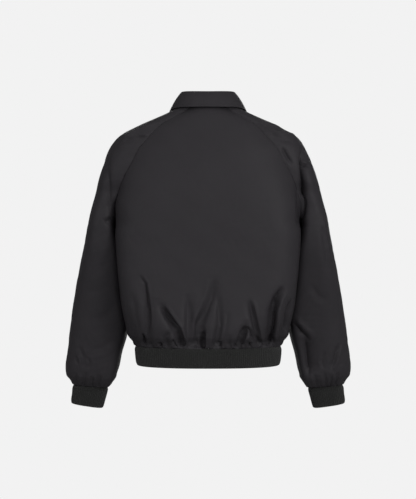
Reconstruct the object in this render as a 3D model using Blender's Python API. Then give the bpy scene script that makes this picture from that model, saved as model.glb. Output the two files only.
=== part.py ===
"""Bomber jacket, filled out as if worn: raglan sleeves, fold-over collar, ribbed hem and cuffs, front zip.

The frame is in metres with +Z up. The wearer faces -Y and the wearer's left is +X. The origin is the middle
of the neck opening, level with the neck seam at the shoulders. Sizes in the tables are millimetres.
"""

import math
from collections import defaultdict, namedtuple

import bmesh
import bpy
import numpy as np

MM = 0.001

# Driving sizes, in millimetres.
WALL = 2.0  # shell cloth, light filling and inner face together
SEAM = 0.3  # gap between pieces at a seam
SLEEVE_ROUNDNESS = 2.7  # 2 is an ellipse, more is squarer
NECK_ROW_Z = 9.0  # neck seam at the back and shoulder
FRONT_RAGLAN_TOP_Z = -24.0  # where the front raglan seam meets the neck
FRONT_NECK_Z = -62.0  # neck seam at the centre front
UNDERARM_Z = -285.0
HEM_SEAM_Z = -572.0
ARM_CLEAR = 1.6  # between the body and a sleeve that presses against it
ARM_SOFTNESS = 1.2  # how gradually the body gives way to the sleeve
ZIP_OPENING = 4.5  # centre line to the edge of each front

BACK_COLUMNS = 40
FRONT_COLUMNS = 20
SLEEVE_COLUMNS = 20

# Heights of the rows of points: the first set ends on the raglan seams, the second on the side seams.
RAGLAN_ROWS = (9.0, -4.0, -20.0, -38.0, -54.0, -72.0, -98.0, -132.0, -170.0, -204.0, -232.0, -258.0, -285.0)
SIDE_ROWS = (-340.0, -400.0, -450.0, -490.0, -520.0, -542.0, -558.0, -572.0)
ARM_ROWS = (-335.0, -395.0, -455.0, -510.0, -560.0, -605.0, -638.0, -655.0, -667.0, -679.5)

# side_x and side_y are the seam below the underarm. Above it, side_y is the middle of the round.
BodySection = namedtuple("BodySection", "z side_x side_y back_y front_y roundness")
BODY = (
    BodySection(9.0, 40.0, 0.0, 68.0, -72.0, 2.4),
    BodySection(-20.0, 82.0, -2.0, 92.0, -84.0, 2.4),
    BodySection(-67.0, 139.0, -5.0, 114.0, -101.0, 2.5),
    BodySection(-130.0, 184.0, -8.0, 127.0, -118.0, 2.7),
    BodySection(-175.0, 207.0, -10.0, 131.0, -126.0, 2.9),
    BodySection(-219.0, 225.0, -14.0, 133.0, -131.0, 3.0),
    BodySection(-285.0, 228.5, -24.0, 132.5, -132.0, 3.1),
    BodySection(-330.0, 227.5, -20.0, 131.0, -131.0, 3.1),
    BodySection(-385.0, 221.5, -15.0, 130.5, -130.0, 3.1),
    BodySection(-430.0, 215.5, -11.0, 131.0, -130.5, 3.1),
    BodySection(-471.0, 209.5, -8.0, 133.0, -132.0, 3.0),
    BodySection(-520.0, 200.5, -4.0, 136.0, -135.0, 2.8),
    BodySection(-543.0, 196.5, -3.0, 134.0, -133.0, 2.6),
    BodySection(-560.0, 185.5, -2.0, 125.0, -124.0, 2.45),
    BodySection(-572.0, 180.0, -2.0, 117.0, -117.0, 2.4),
)

# Above the underarm, seam_angle is where the sleeve's round starts at the raglan seam, from 90 degrees,
# at its rearmost point, to 180 degrees, against the body.
SleeveSection = namedtuple(
    "SleeveSection", "z outer_x back_x front_x middle_y back_depth front_depth seam_angle tilt"
)
SLEEVE = (
    SleeveSection(9.0, 74.0, 40.0, 50.0, 0.0, 58.0, 48.0, 90.0, 0.0),
    SleeveSection(-4.0, 98.5, 55.0, 62.0, -3.0, 65.0, 62.0, 90.0, 0.0),
    SleeveSection(-20.0, 132.5, 82.0, 84.0, -5.0, 79.0, 73.0, 90.0, 0.0),
    SleeveSection(-40.0, 176.0, 114.0, 110.0, -5.0, 88.0, 84.0, 90.0, 0.0),
    SleeveSection(-67.0, 222.0, 139.0, 134.0, -6.0, 96.0, 92.0, 90.0, 0.0),
    SleeveSection(-95.0, 242.0, 163.0, 156.0, -7.0, 100.0, 97.0, 90.0, 0.0),
    SleeveSection(-130.0, 256.0, 187.0, 178.0, -8.0, 100.0, 99.0, 92.0, 0.0),
    SleeveSection(-170.0, 268.0, 212.0, 203.0, -10.0, 96.0, 97.0, 95.0, 0.0),
    SleeveSection(-204.0, 276.0, 230.8, 224.0, -12.0, 86.0, 93.0, 104.0, 0.0),
    SleeveSection(-232.0, 283.5, 248.7, 246.0, -15.0, 86.0, 90.0, 130.0, 0.0),
    SleeveSection(-258.0, 290.5, 258.2, 258.0, -19.0, 89.0, 90.0, 154.0, 0.0),
    SleeveSection(-285.0, 296.0, 263.2, 263.2, -24.0, 92.0, 92.0, 180.0, 0.0),
    SleeveSection(-330.0, 305.5, 264.0, 264.0, -32.0, 93.0, 93.0, 180.0, 0.0),
    SleeveSection(-385.0, 318.0, 266.5, 266.5, -42.0, 88.0, 88.0, 180.0, 0.0),
    SleeveSection(-450.0, 331.0, 268.5, 268.5, -52.0, 79.0, 79.0, 180.0, 0.0),
    SleeveSection(-505.0, 340.5, 270.0, 270.0, -59.0, 70.0, 70.0, 180.0, 0.0),
    SleeveSection(-550.0, 347.5, 276.0, 276.0, -65.0, 65.0, 65.0, 180.0, 0.0),
    SleeveSection(-595.0, 353.0, 285.0, 285.0, -70.0, 61.0, 61.0, 180.0, 0.02),
    SleeveSection(-632.0, 357.0, 291.0, 291.0, -74.0, 58.0, 58.0, 180.0, 0.04),
    SleeveSection(-652.0, 356.0, 293.5, 293.5, -76.0, 55.0, 55.0, 180.0, 0.06),
    SleeveSection(-667.0, 346.5, 293.5, 293.5, -77.5, 46.0, 46.0, 180.0, 0.08),
    SleeveSection(-679.5, 340.0, 295.0, 295.0, -78.5, 34.0, 34.0, 180.0, 0.08),
)

# Gathers above the hem seam, as soft troughs that run down to it.
GATHER_STRENGTH = 1.5
Gather = namedtuple("Gather", "top_x top_z middle_x middle_z hem_x depth half_width")
BACK_GATHERS = (
    Gather(190.0, -470.0, 182.0, -520.0, 171.0, 5.0, 9.0),
    Gather(163.0, -395.0, 143.0, -470.0, 143.0, 8.0, 10.0),
    Gather(122.0, -450.0, 88.0, -502.0, 57.0, 8.0, 11.0),
    Gather(96.0, -530.0, 95.0, -550.0, 94.0, 5.0, 8.0),
    Gather(46.0, -455.0, 42.0, -510.0, 38.0, 5.0, 9.0),
    Gather(12.0, -515.0, 12.0, -545.0, 12.0, 8.0, 7.0),
    Gather(-12.0, -398.0, 12.0, -470.0, 28.0, 5.0, 11.0),
    Gather(-34.0, -450.0, -26.0, -510.0, -18.0, 5.0, 9.0),
    Gather(-48.0, -535.0, -48.0, -550.0, -49.0, 5.0, 7.0),
    Gather(-92.0, -500.0, -84.0, -540.0, -77.0, 7.0, 8.0),
    Gather(-94.0, -455.0, -112.0, -505.0, -121.0, 6.0, 10.0),
    Gather(-178.0, -425.0, -150.0, -480.0, -140.0, 9.0, 11.0),
    Gather(-196.0, -465.0, -186.0, -515.0, -170.0, 6.0, 9.0),
)
FRONT_GATHERS = (
    Gather(184.0, -460.0, 172.0, -515.0, 166.0, 6.0, 9.0),
    Gather(150.0, -430.0, 142.0, -490.0, 136.0, 7.0, 10.0),
    Gather(104.0, -470.0, 110.0, -520.0, 107.0, 6.0, 9.0),
    Gather(96.0, -410.0, 84.0, -480.0, 80.0, 7.0, 11.0),
    Gather(54.0, -470.0, 56.0, -520.0, 55.0, 6.0, 9.0),
    Gather(36.0, -525.0, 37.0, -548.0, 38.0, 4.0, 7.0),
)

CollarSection = namedtuple("CollarSection", "along roll_x roll_y roll_z edge_x edge_y edge_z")
COLLAR = (
    CollarSection(0.00, 0.0, 49.0, 43.0, 0.0, 81.0, 4.0),
    CollarSection(0.14, 22.0, 47.5, 43.3, 30.0, 79.0, 4.0),
    CollarSection(0.32, 50.0, 36.0, 44.5, 67.0, 62.0, 5.0),
    CollarSection(0.45, 61.0, 14.0, 45.5, 86.0, 27.0, 6.5),
    CollarSection(0.58, 60.0, -12.0, 38.0, 91.0, -13.0, 5.0),
    CollarSection(0.74, 47.0, -42.0, 12.0, 88.0, -56.0, -16.0),
    CollarSection(0.88, 26.0, -62.0, -18.0, 76.0, -88.0, -55.0),
    CollarSection(1.00, 6.0, -75.0, -40.0, 48.0, -101.0, -96.0),
)

COLLAR_COLUMNS = 36
STAND_LIFT = 2.9  # clear of the neck edges of the panels
STAND_DROP = 2.2  # clear of the fall where it rolls over
COLLAR_ROLL = 5.5  # how far the fall rolls outward at its top
COLLAR_ROLL_RISE = 0.8
COLLAR_BOW = 2.5
COLLAR_WALL = 2.0

BandLevel = namedtuple("BandLevel", "z half_width half_depth")
HEM_LEVELS = (
    BandLevel(-572.3, 179.0, 117.0),
    BandLevel(-590.0, 178.0, 116.5),
    BandLevel(-611.0, 175.5, 115.5),
    BandLevel(-618.5, 172.5, 112.5),
)
HEM_ROUNDNESS = 2.4
HEM_RIBS = 104
HEM_RIB_RISE = 1.0
HEM_WALL = 3.0

CuffLevel = namedtuple("CuffLevel", "z half_width half_depth tilt centre_x centre_y")
CUFF_LEVELS = (
    CuffLevel(-679.8, 44.5, 33.0, 0.08, 295.0, -78.5),
    CuffLevel(-700.0, 42.0, 31.0, 0.10, 298.5, -81.0),
    CuffLevel(-722.0, 40.0, 30.0, 0.14, 303.0, -83.5),
    CuffLevel(-729.0, 38.0, 28.0, 0.15, 303.7, -84.5),
)
CUFF_RIBS = 32
CUFF_RIB_RISE = 1.0
CUFF_WALL = 3.0

ZIP_TOP_Z = -63.0
CHAIN_TOP_Z = -69.0
ZIP_CHAIN_HALF = 3.0
ZIP_CHAIN_THICK = 2.2
ZIP_TAPE_THICK = 0.9
TAPE_CLEAR = 1.2  # between the front's inner face and the tape
TAPE_EDGE = 1.6  # from the centre line, behind the chain
ZIP_TAPE_WIDTH = 13.0
NYLON_COLOUR = (0.022, 0.021, 0.024)
KNIT_COLOUR = (0.016, 0.016, 0.016)
TAPE_COLOUR = (0.012, 0.012, 0.013)
METAL_COLOUR = (0.09, 0.09, 0.095)
SLIDER_DROP = 9.0  # from the top of the tapes to the middle of the slider
SLIDER_PLATE = 1.4
SLIDER_CLEAR = 0.9
BAIL_HALF = 0.7
BAIL_RISE = 3.6  # outer face of the bail, above the slider's front plate
BAIL_REACH = 3.0  # from the tab's axis down to the foot of the bail
TAB_AXIS_UP = 1.8  # the tab turns about its top bar, inside the bail
TAB_AXIS_OUT = 1.35
TAB_BAR = 1.5
TAB_SLOT = 5.0  # from the axis to the lower end of the slot that the bail passes through
TAB_TOP_HALF = 2.2
TAB_END_HALF = 3.2
TAB_THICK = 1.4
TAB_LENGTH = 26.0


def column(table, name):
    return np.array([getattr(row, name) for row in table], float)


def smooth_value(table, name, at, key="z"):
    """The named column at any height or place, on a smooth curve that never overshoots its rows."""
    places = column(table, key)
    values = column(table, name)
    if places[0] > places[-1]:
        places, values = places[::-1], values[::-1]
    steps = np.diff(places)
    slopes = np.diff(values) / steps
    tangents = np.zeros(len(values))
    for i in range(1, len(values) - 1):
        if slopes[i - 1] * slopes[i] > 0:
            before = 2 * steps[i] + steps[i - 1]
            after = steps[i] + 2 * steps[i - 1]
            tangents[i] = (before + after) / (before / slopes[i - 1] + after / slopes[i])
    tangents[0] = slopes[0]
    tangents[-1] = slopes[-1]
    at = np.clip(at, places[0], places[-1])
    i = np.clip(np.searchsorted(places, at) - 1, 0, len(steps) - 1)
    u = (at - places[i]) / steps[i]
    return (
        (1 + 2 * u) * (1 - u) ** 2 * values[i]
        + u * (1 - u) ** 2 * steps[i] * tangents[i]
        + u * u * (3 - 2 * u) * values[i + 1]
        + u * u * (u - 1) * steps[i] * tangents[i + 1]
    )


def round_cos(angle, roundness):
    c = math.cos(angle)
    return math.copysign(abs(c) ** (2 / roundness), c)


def round_sin(angle, roundness):
    s = math.sin(angle)
    return math.copysign(abs(s) ** (2 / roundness), s)


def front_height(z, top):
    """The height on the front of a row that is at z on the back: front rows start lower, at the neck."""
    if z <= UNDERARM_Z:
        return z
    return UNDERARM_Z + (z - UNDERARM_Z) * (top - UNDERARM_Z) / (NECK_ROW_Z - UNDERARM_Z)


def sleeve_ring(z, columns):
    """One row of a left sleeve, from the back seam round the outer side to the front seam, or closed."""
    outer = smooth_value(SLEEVE, "outer_x", z)
    middle_y = smooth_value(SLEEVE, "middle_y", z)
    start = math.radians(smooth_value(SLEEVE, "seam_angle", z))
    tilt = smooth_value(SLEEVE, "tilt", z)
    crowding = 1 + 0.5 * (start - math.pi / 2) / (math.pi / 2)
    front_z = front_height(z, FRONT_RAGLAN_TOP_Z)
    points = []
    for j in range(columns + 1):
        share = 1 - 2 * j / columns
        angle = start * math.copysign(abs(share) ** crowding, share)
        side = "back" if angle >= 0 else "front"
        centre = smooth_value(SLEEVE, side + "_x", z)
        depth = smooth_value(SLEEVE, side + "_depth", z)
        x = centre + (outer - centre) * round_cos(angle, SLEEVE_ROUNDNESS)
        y = middle_y + depth * round_sin(angle, SLEEVE_ROUNDNESS)
        forward = max(0.0, -math.sin(angle) / max(math.sin(min(start, math.pi / 2)), 1e-6))
        drop = (z - front_z) * forward ** 1.5
        points.append((x, y, z - drop + tilt * (x - centre)))
    return np.array(points)


def seam_end(z, side):
    """Where a body row meets the left raglan seam, or below the underarm the side seam."""
    if z <= UNDERARM_Z:
        return np.array([smooth_value(BODY, "side_x", z), smooth_value(BODY, "side_y", z), z])
    ring = sleeve_ring(z, 2)
    return ring[0] if side == "back" else ring[-1]


def gather_depth(gathers, x, z):
    """How far the cloth is drawn in at a place, from the troughs that run down to the hem seam."""
    drawn = 0.0
    for g in gathers:
        if z > g.top_z:
            continue
        path_z = (HEM_SEAM_Z, g.middle_z, g.top_z)
        centre = np.interp(z, path_z, (g.hem_x, g.middle_x, g.top_x))
        grown = (g.top_z - z) / (g.top_z - HEM_SEAM_Z)
        held = 1 - 0.75 * max(0.0, (HEM_SEAM_Z + 14 - z) / 14)
        reach = g.half_width * (1.3 - 0.3 * grown)
        across = math.exp(-(((x - centre) / reach) ** 2))
        drawn += GATHER_STRENGTH * g.depth * math.sin(math.pi / 2 * grown) * held * across
    return drawn


def body_row(z, side, first, last, columns, gathers):
    """One row of the body: first and last are shares of the way from the centre line to the left seam."""
    sign = 1 if side == "back" else -1
    end = seam_end(z, side)
    centre_z = z if side == "back" else front_height(z, FRONT_NECK_Z)
    centre_y = smooth_value(BODY, side + "_y", z)
    side_y = smooth_value(BODY, "side_y", z)
    roundness = smooth_value(BODY, "roundness", z)
    end_share = min(max((end[1] - side_y) / (centre_y - side_y), 0.0), 1.0)
    end_angle = math.acos(end_share ** (roundness / 2))
    spread = end[0] / round_sin(end_angle, roundness)
    points = []
    for j in range(columns + 1):
        share = first + (last - first) * j / columns
        angle = abs(share) * end_angle
        x = math.copysign(spread * round_sin(angle, roundness), share)
        if side == "front":
            x = ZIP_OPENING + x * (end[0] - ZIP_OPENING) / end[0]
        around = round_cos(angle, roundness)
        y = side_y + (centre_y - side_y) * around
        row_z = centre_z + (end[2] - centre_z) * share * share
        drawn = gather_depth(gathers, x, row_z)
        y -= sign * drawn * math.sqrt(max(around, 0.0))
        x -= math.copysign(drawn * (1 - around) ** 2, x)
        x = math.copysign(pressed(abs(x), y, row_z), x)
        points.append((x, y, row_z))
    return np.array(points)


def pressed(x, y, z):
    """How far out a point of the body may be at the side: the left sleeve presses it in below the underarm."""
    if z >= UNDERARM_Z:
        return x
    middle_y = smooth_value(SLEEVE, "middle_y", z)
    depth = smooth_value(SLEEVE, "back_depth", z)
    off = abs(y - middle_y) / depth
    if off >= 1:
        return x
    centre = smooth_value(SLEEVE, "back_x", z)
    reach = (smooth_value(SLEEVE, "outer_x", z) - centre) * (1 - off**SLEEVE_ROUNDNESS) ** (1 / SLEEVE_ROUNDNESS)
    limit = centre - reach - ARM_CLEAR
    given_way = 0.5 * (x + limit - math.hypot(x - limit, 2 * ARM_SOFTNESS))
    return x + (given_way - x) * min(1.0, (UNDERARM_Z - z) / 12)


def mirrored(points):
    return points * np.array([-1.0, 1.0, 1.0])


def grid_faces(rows, columns):
    faces = []
    for i in range(rows - 1):
        for j in range(columns):
            a = i * (columns + 1) + j
            faces.append((a, a + columns + 1, a + columns + 2, a + 1))
    return faces


def body_grid(side, first, last, columns, gathers):
    rows = [body_row(z, side, first, last, columns, gathers) for z in RAGLAN_ROWS + SIDE_ROWS]
    return np.concatenate(rows), grid_faces(len(rows), columns)


def sleeve_grid():
    """The left sleeve: rows that are open between the raglan seams, then closed rings down to the cuff."""
    points = []
    faces = []
    starts = []
    for z in RAGLAN_ROWS + ARM_ROWS:
        ring = sleeve_ring(z, SLEEVE_COLUMNS)
        closed = z <= UNDERARM_Z
        starts.append((len(points), closed))
        points.extend(ring[:-1] if closed else ring)
    for (above, above_closed), (below, below_closed) in zip(starts, starts[1:]):
        for j in range(SLEEVE_COLUMNS):
            next_above = (j + 1) % SLEEVE_COLUMNS if above_closed else j + 1
            next_below = (j + 1) % SLEEVE_COLUMNS if below_closed else j + 1
            faces.append((above + next_above, below + next_below, below + j, above + j))
    return np.array(points), faces


def vertex_normals(points, faces):
    normals = np.zeros_like(points)
    for face in faces:
        a, b, c, d = (points[i] for i in face)
        across = np.cross(c - a, d - b)
        for i in face:
            normals[i] += across
    lengths = np.linalg.norm(normals, axis=1, keepdims=True)
    return normals / np.maximum(lengths, 1e-9)


def edge_counts(faces):
    counts = defaultdict(int)
    for face in faces:
        for a, b in zip(face, face[1:] + face[:1]):
            counts[a, b] += 1
    return counts


def open_edges(faces):
    """Edges with one face, in the order that the face runs round them."""
    counts = edge_counts(faces)
    return [(a, b) for a, b in counts if (b, a) not in counts]


def place_key(point):
    return tuple(np.round(point, 2))


def shared_normals(pieces):
    """Each piece's normals, made the same where pieces meet, so that their walls end face to face."""
    own = {name: vertex_normals(points, faces) for name, (points, faces) in pieces.items()}
    sums = defaultdict(lambda: np.zeros(3))
    for name, (points, faces) in pieces.items():
        for i in {i for edge in open_edges(faces) for i in edge}:
            sums[place_key(points[i])] += own[name][i]
    for name, (points, faces) in pieces.items():
        for i in {i for edge in open_edges(faces) for i in edge}:
            total = sums[place_key(points[i])]
            if np.linalg.norm(total) > 0.15:
                own[name][i] = total / np.linalg.norm(total)
    return own


def seam_steps(points, faces, normals, gap):
    """How far each edge point steps back from its seam, in the cloth's own surface."""
    steps = np.zeros_like(points)
    centres = {}
    for face in faces:
        middle = sum(points[i] for i in face) / len(face)
        for a, b in zip(face, face[1:] + face[:1]):
            centres[a, b] = middle
    for a, b in open_edges(faces):
        along = points[b] - points[a]
        length = np.linalg.norm(along)
        if length < 1e-6:
            continue
        along /= length
        normal = normals[a] + normals[b]
        inward = np.cross(normal, along)
        if np.dot(inward, centres[a, b] - points[a]) < 0:
            inward = -inward
        inward /= max(np.linalg.norm(inward), 1e-9)
        steps[a] += inward
        steps[b] += inward
    lengths = np.linalg.norm(steps, axis=1, keepdims=True)
    return np.where(lengths > 1e-6, steps / np.maximum(lengths, 1e-9), 0) * gap / 2


def walled(points, faces, normals, wall=WALL, gap=SEAM):
    """A closed wall: the outer points, the same points moved in by the wall, and its edges."""
    stepped = points + seam_steps(points, faces, normals, gap)
    inner = stepped - wall * normals
    count = len(points)
    solid = []
    for a, b, c, d in faces:
        for corner in ((a, b, c), (a, c, d)):
            solid.append(corner)
            solid.append(tuple(i + count for i in reversed(corner)))
    for a, b in open_edges(faces):
        # Both pieces at a seam split this edge face the same way, from its higher point inside.
        if tuple(points[a][::-1]) > tuple(points[b][::-1]):
            solid += [(b, a, a + count), (b, a + count, b + count)]
        else:
            solid += [(b, a, b + count), (a, a + count, b + count)]
    return np.concatenate([stepped, inner]), solid


def collar_strip(name_prefix, columns):
    """Points of the collar's roll line or lower edge, from the left front round the back to the right front."""
    points = []
    for j in range(columns + 1):
        place = 2 * j / columns - 1
        side = 1 if place < 0 else -1
        values = [smooth_value(COLLAR, name_prefix + axis, abs(place), "along") for axis in "_x _y _z".split()]
        points.append((side * values[0], values[1], values[2]))
    return np.array(points)


def resampled(points, shares):
    """Points at the given shares of a line's length."""
    lengths = np.concatenate([[0], np.cumsum(np.linalg.norm(np.diff(points, axis=0), axis=1))])
    places = np.asarray(shares) * lengths[-1]
    return np.stack([np.interp(places, lengths, points[:, k]) for k in range(3)], axis=1)


def neck_line(columns):
    """The neck seam from the left front round the back to the right front."""
    top = RAGLAN_ROWS[0]
    back = body_row(top, "back", 0, 1, BACK_COLUMNS // 2, ())
    sleeve = sleeve_ring(top, SLEEVE_COLUMNS)
    front = body_row(top, "front", 0, 1, FRONT_COLUMNS, ())
    half = np.concatenate([back, sleeve[1:], front[::-1][1:]])
    left = resampled(half, [1 - 2 * j / columns for j in range(columns // 2 + 1)])
    return np.concatenate([left, mirrored(left[::-1])[1:]])


def collar_grids():
    """The stand, from the neck seam up to the roll line, and the fall, over it and down to its edge."""
    neck = neck_line(COLLAR_COLUMNS)
    roll = collar_strip("roll", COLLAR_COLUMNS)
    edge = collar_strip("edge", COLLAR_COLUMNS)
    up = np.array([0.0, 0.0, 1.0])
    rise = roll - neck
    low = neck + STAND_LIFT * rise / np.linalg.norm(rise, axis=1, keepdims=True)
    high = roll - STAND_DROP * up
    stand = [low, (low + high) / 2, high]
    outward = (edge - roll) * np.array([1.0, 1.0, 0.0])
    outward /= np.linalg.norm(outward, axis=1, keepdims=True)
    fall = [
        roll + COLLAR_ROLL_RISE * up,
        roll + COLLAR_ROLL / 2 * outward + (COLLAR_ROLL_RISE + 1.2) * up,
        roll + COLLAR_ROLL * outward,
    ]
    for share in (0.35, 0.7, 1.0):
        bow = COLLAR_BOW * math.sin(math.pi * share)
        fall.append(fall[2] * (1 - share) + edge * share + bow * outward + bow * 0.5 * up)
    grids = {}
    for name, rows in (("collar_stand", stand), ("collar_fall", fall)):
        rows = rows[::-1] if name == "collar_stand" else rows
        grids[name] = (np.concatenate(rows), grid_faces(len(rows), COLLAR_COLUMNS))
    return grids


def oval_ring(half_width, half_depth, z, roundness, count):
    """A level ring of points from the centre front round the left, the back and the right."""
    points = []
    for j in range(count + 1):
        angle = -math.pi / 2 + 2 * math.pi * j / count
        x = half_width * round_cos(angle, roundness)
        points.append((x, half_depth * round_sin(angle, roundness), z))
    return np.array(points)


def ribbed_band(levels, place, ribs, rise, wall, closed):
    """A knit band: ribs raised in the outer points, four of them to each plain segment inside."""
    outer_count = 2 * ribs
    inner_count = outer_count // 4
    rings = []
    for level in levels:
        ring = place(level)
        line = resampled(ring, [j / outer_count for j in range(outer_count + 1)])
        rings.append(line[:-1] if closed else line)
    across = len(rings[0])
    middle = np.mean([ring.mean(axis=0) for ring in rings], axis=0)
    points = []
    for k, ring in enumerate(rings):
        outward = (ring - middle) * np.array([1.0, 1.0, 0.0])
        outward /= np.linalg.norm(outward, axis=1, keepdims=True)
        heights = rise * (np.arange(across) % 2) * (0.35 if k in (0, len(rings) - 1) else 1.0)
        points.extend(ring + outward * heights[:, None])
    inner_start = len(points)
    inner_across = inner_count if closed else inner_count + 1
    for ring in (rings[0], rings[-1]):
        outward = (ring - middle) * np.array([1.0, 1.0, 0.0])
        outward /= np.linalg.norm(outward, axis=1, keepdims=True)
        points.extend((ring - wall * outward)[::4])
    faces = []

    def outer(k, j):
        return k * across + j % across

    def inner(k, j):
        return inner_start + k * inner_across + j % inner_across

    last = len(rings) - 1
    for j in range(outer_count):
        for k in range(last):
            faces.append((outer(k, j), outer(k + 1, j), outer(k + 1, j + 1), outer(k, j + 1)))
    for j in range(inner_count):
        for step in range(4):
            faces.append((outer(0, 4 * j + step), outer(0, 4 * j + step + 1), inner(0, j)))
            faces.append((outer(last, 4 * j + step + 1), outer(last, 4 * j + step), inner(1, j)))
        faces.append((outer(0, 4 * j + 4), inner(0, j + 1), inner(0, j)))
        faces.append((outer(last, 4 * j + 4), inner(1, j), inner(1, j + 1)))
        faces.append((inner(0, j), inner(0, j + 1), inner(1, j + 1), inner(1, j)))
    if not closed:
        faces.append(tuple(outer(k, 0) for k in range(last + 1))[::-1] + (inner(0, 0), inner(1, 0)))
        end = tuple(outer(k, outer_count) for k in range(last + 1))
        faces.append(end + (inner(1, inner_count), inner(0, inner_count)))
    return np.array(points), faces


def hem_band():
    """The hem rib, open at the centre front for the zip."""

    def place(level):
        ring = oval_ring(level.half_width, level.half_depth, level.z, HEM_ROUNDNESS, 400)
        start = np.argmax(ring[:, 0] > ZIP_OPENING)
        return ring[start : len(ring) - start]

    return ribbed_band(HEM_LEVELS, place, HEM_RIBS, HEM_RIB_RISE, HEM_WALL, False)


def cuff_band():
    def place(level):
        ring = oval_ring(level.half_width, level.half_depth, level.z, SLEEVE_ROUNDNESS, 200)
        ring[:, 2] += level.tilt * ring[:, 0]
        return ring + np.array([level.centre_x, level.centre_y, 0.0])

    return ribbed_band(CUFF_LEVELS, place, CUFF_RIBS, CUFF_RIB_RISE, CUFF_WALL, True)


def zip_line(top_z):
    """The face of the zip tapes on the centre line, from the neck down to the hem: (y, z) in each row."""
    profile = [
        (smooth_value(BODY, "front_y", z), front_height(z, FRONT_NECK_Z)) for z in RAGLAN_ROWS + SIDE_ROWS[:-1]
    ]
    profile = np.array(profile)
    along = np.gradient(profile, axis=0)
    along /= np.linalg.norm(along, axis=1, keepdims=True)
    inward = np.stack([-along[:, 1], along[:, 0]], axis=1)
    line = list(profile + (WALL + TAPE_CLEAR) * inward)
    for level in (HEM_LEVELS[0], HEM_LEVELS[-1]):
        line.append((-level.half_depth + HEM_WALL + 2 * SEAM, level.z))
    line = np.array(line)
    top = (np.interp(-top_z, -line[:, 1], line[:, 0]), top_z)
    return np.concatenate([[top], line[line[:, 1] < top_z - 2.0]])


def zip_strip(left_x, right_x, near, far, top_z=ZIP_TOP_Z):
    """A strip along the zip, between two distances in front of the tape's face."""
    line = zip_line(top_z)
    along = np.gradient(line, axis=0)
    along /= np.linalg.norm(along, axis=1, keepdims=True)
    forward = np.stack([along[:, 1], -along[:, 0]], axis=1)
    rows = []
    for distance in (far, near):
        for x in (left_x, right_x):
            rows.append([(x, *(p + f * distance)) for p, f in zip(line, forward)])
    rings = np.array([rows[0], rows[1], rows[3], rows[2]]).transpose(1, 0, 2)
    count = len(rings)
    faces = [tuple(range(4)), tuple(4 * (count - 1) + k for k in range(4))[::-1]]
    for i in range(count - 1):
        for k in range(4):
            a = 4 * i + k
            b = 4 * i + (k + 1) % 4
            faces.append((a, a + 4, b + 4, b))
    return rings.reshape(-1, 3), faces


def slider_frame():
    """The slider's middle on the tape face, with unit vectors out of the front and up along the zip."""
    line = zip_line(ZIP_TOP_Z)
    z = ZIP_TOP_Z - SLIDER_DROP
    y = np.interp(-z, -line[:, 1], line[:, 0])
    above = np.interp(-z - 10, -line[:, 1], line[:, 0])
    up = np.array([0.0, above - y, 10.0])
    up /= np.linalg.norm(up)
    return np.array([0.0, y, z]), np.cross([1.0, 0.0, 0.0], up), up


def placed(points):
    """Points given as (x, out, up) from the slider's middle, in the jacket's frame."""
    origin, out, up = slider_frame()
    return np.array([origin + p[0] * np.array([1.0, 0.0, 0.0]) + p[1] * out + p[2] * up for p in points])


def extruded(outline, near, far):
    """An outline of (x, up) points, made solid between two distances out of the front."""
    count = len(outline)
    points = [(x, near, up) for x, up in outline] + [(x, far, up) for x, up in outline]
    faces = [tuple(range(count)), tuple(range(count, 2 * count))[::-1]]
    for i in range(count):
        j = (i + 1) % count
        faces.append((i, i + count, j + count, j))
    return placed(points), faces


def slider_outline(half_top, half_bottom, top, bottom):
    """A slider plate: wide where the two chains part, narrower where they leave joined."""
    shoulder = top - 2.2
    return [
        (-half_bottom, bottom),
        (half_bottom, bottom),
        (half_bottom + 0.4, bottom + 4.0),
        (half_top, shoulder),
        (half_top - 1.8, top),
        (-half_top + 1.8, top),
        (-half_top, shoulder),
        (-half_bottom - 0.4, bottom + 4.0),
    ]


def tab_outline(sides=8):
    """The pull tab, from its narrow top, which lies in the bail, down to its round lower end."""
    points = [(TAB_TOP_HALF, TAB_AXIS_UP + TAB_BAR / 2), (-TAB_TOP_HALF, TAB_AXIS_UP + TAB_BAR / 2)]
    for k in range(sides + 1):
        angle = math.pi + math.pi * k / sides
        low = TAB_AXIS_UP - TAB_LENGTH + TAB_END_HALF
        points.append((TAB_END_HALF * math.cos(angle), low + TAB_END_HALF * math.sin(angle)))
    return points


def rectangle(half_x, low, high):
    return [(-half_x, low), (half_x, low), (half_x, high), (-half_x, high)]


def material_of(name, colour, roughness, metallic):
    material = bpy.data.materials.get(name) or bpy.data.materials.new(name)
    material.use_nodes = True
    shader = material.node_tree.nodes["Principled BSDF"]
    shader.inputs["Base Color"].default_value = (*colour, 1.0)
    shader.inputs["Roughness"].default_value = roughness
    shader.inputs["Metallic"].default_value = metallic
    return material


def add_object(name, points, faces, material):
    """A closed mesh object, its points given in millimetres."""
    mesh = bpy.data.meshes.new(name)
    mesh.from_pydata([tuple(p) for p in np.asarray(points) * MM], [], faces)
    shape = bmesh.new()
    shape.from_mesh(mesh)
    bmesh.ops.recalc_face_normals(shape, faces=shape.faces)
    shape.to_mesh(mesh)
    shape.free()
    mesh.materials.append(material)
    mesh.shade_smooth()
    mesh.set_sharp_from_angle(angle=math.radians(50))
    obj = bpy.data.objects.new(name, mesh)
    bpy.context.scene.collection.objects.link(obj)
    return obj


def combine(obj, other, operation):
    """Joins or cuts one object with another and deletes the other."""
    modifier = obj.modifiers.new(operation.title(), "BOOLEAN")
    modifier.operation = operation
    modifier.object = other
    bpy.context.view_layer.update()
    graph = bpy.context.evaluated_depsgraph_get()
    mesh = bpy.data.meshes.new_from_object(obj.evaluated_get(graph))
    obj.modifiers.clear()
    obj.data = mesh
    bpy.data.objects.remove(other)


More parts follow.
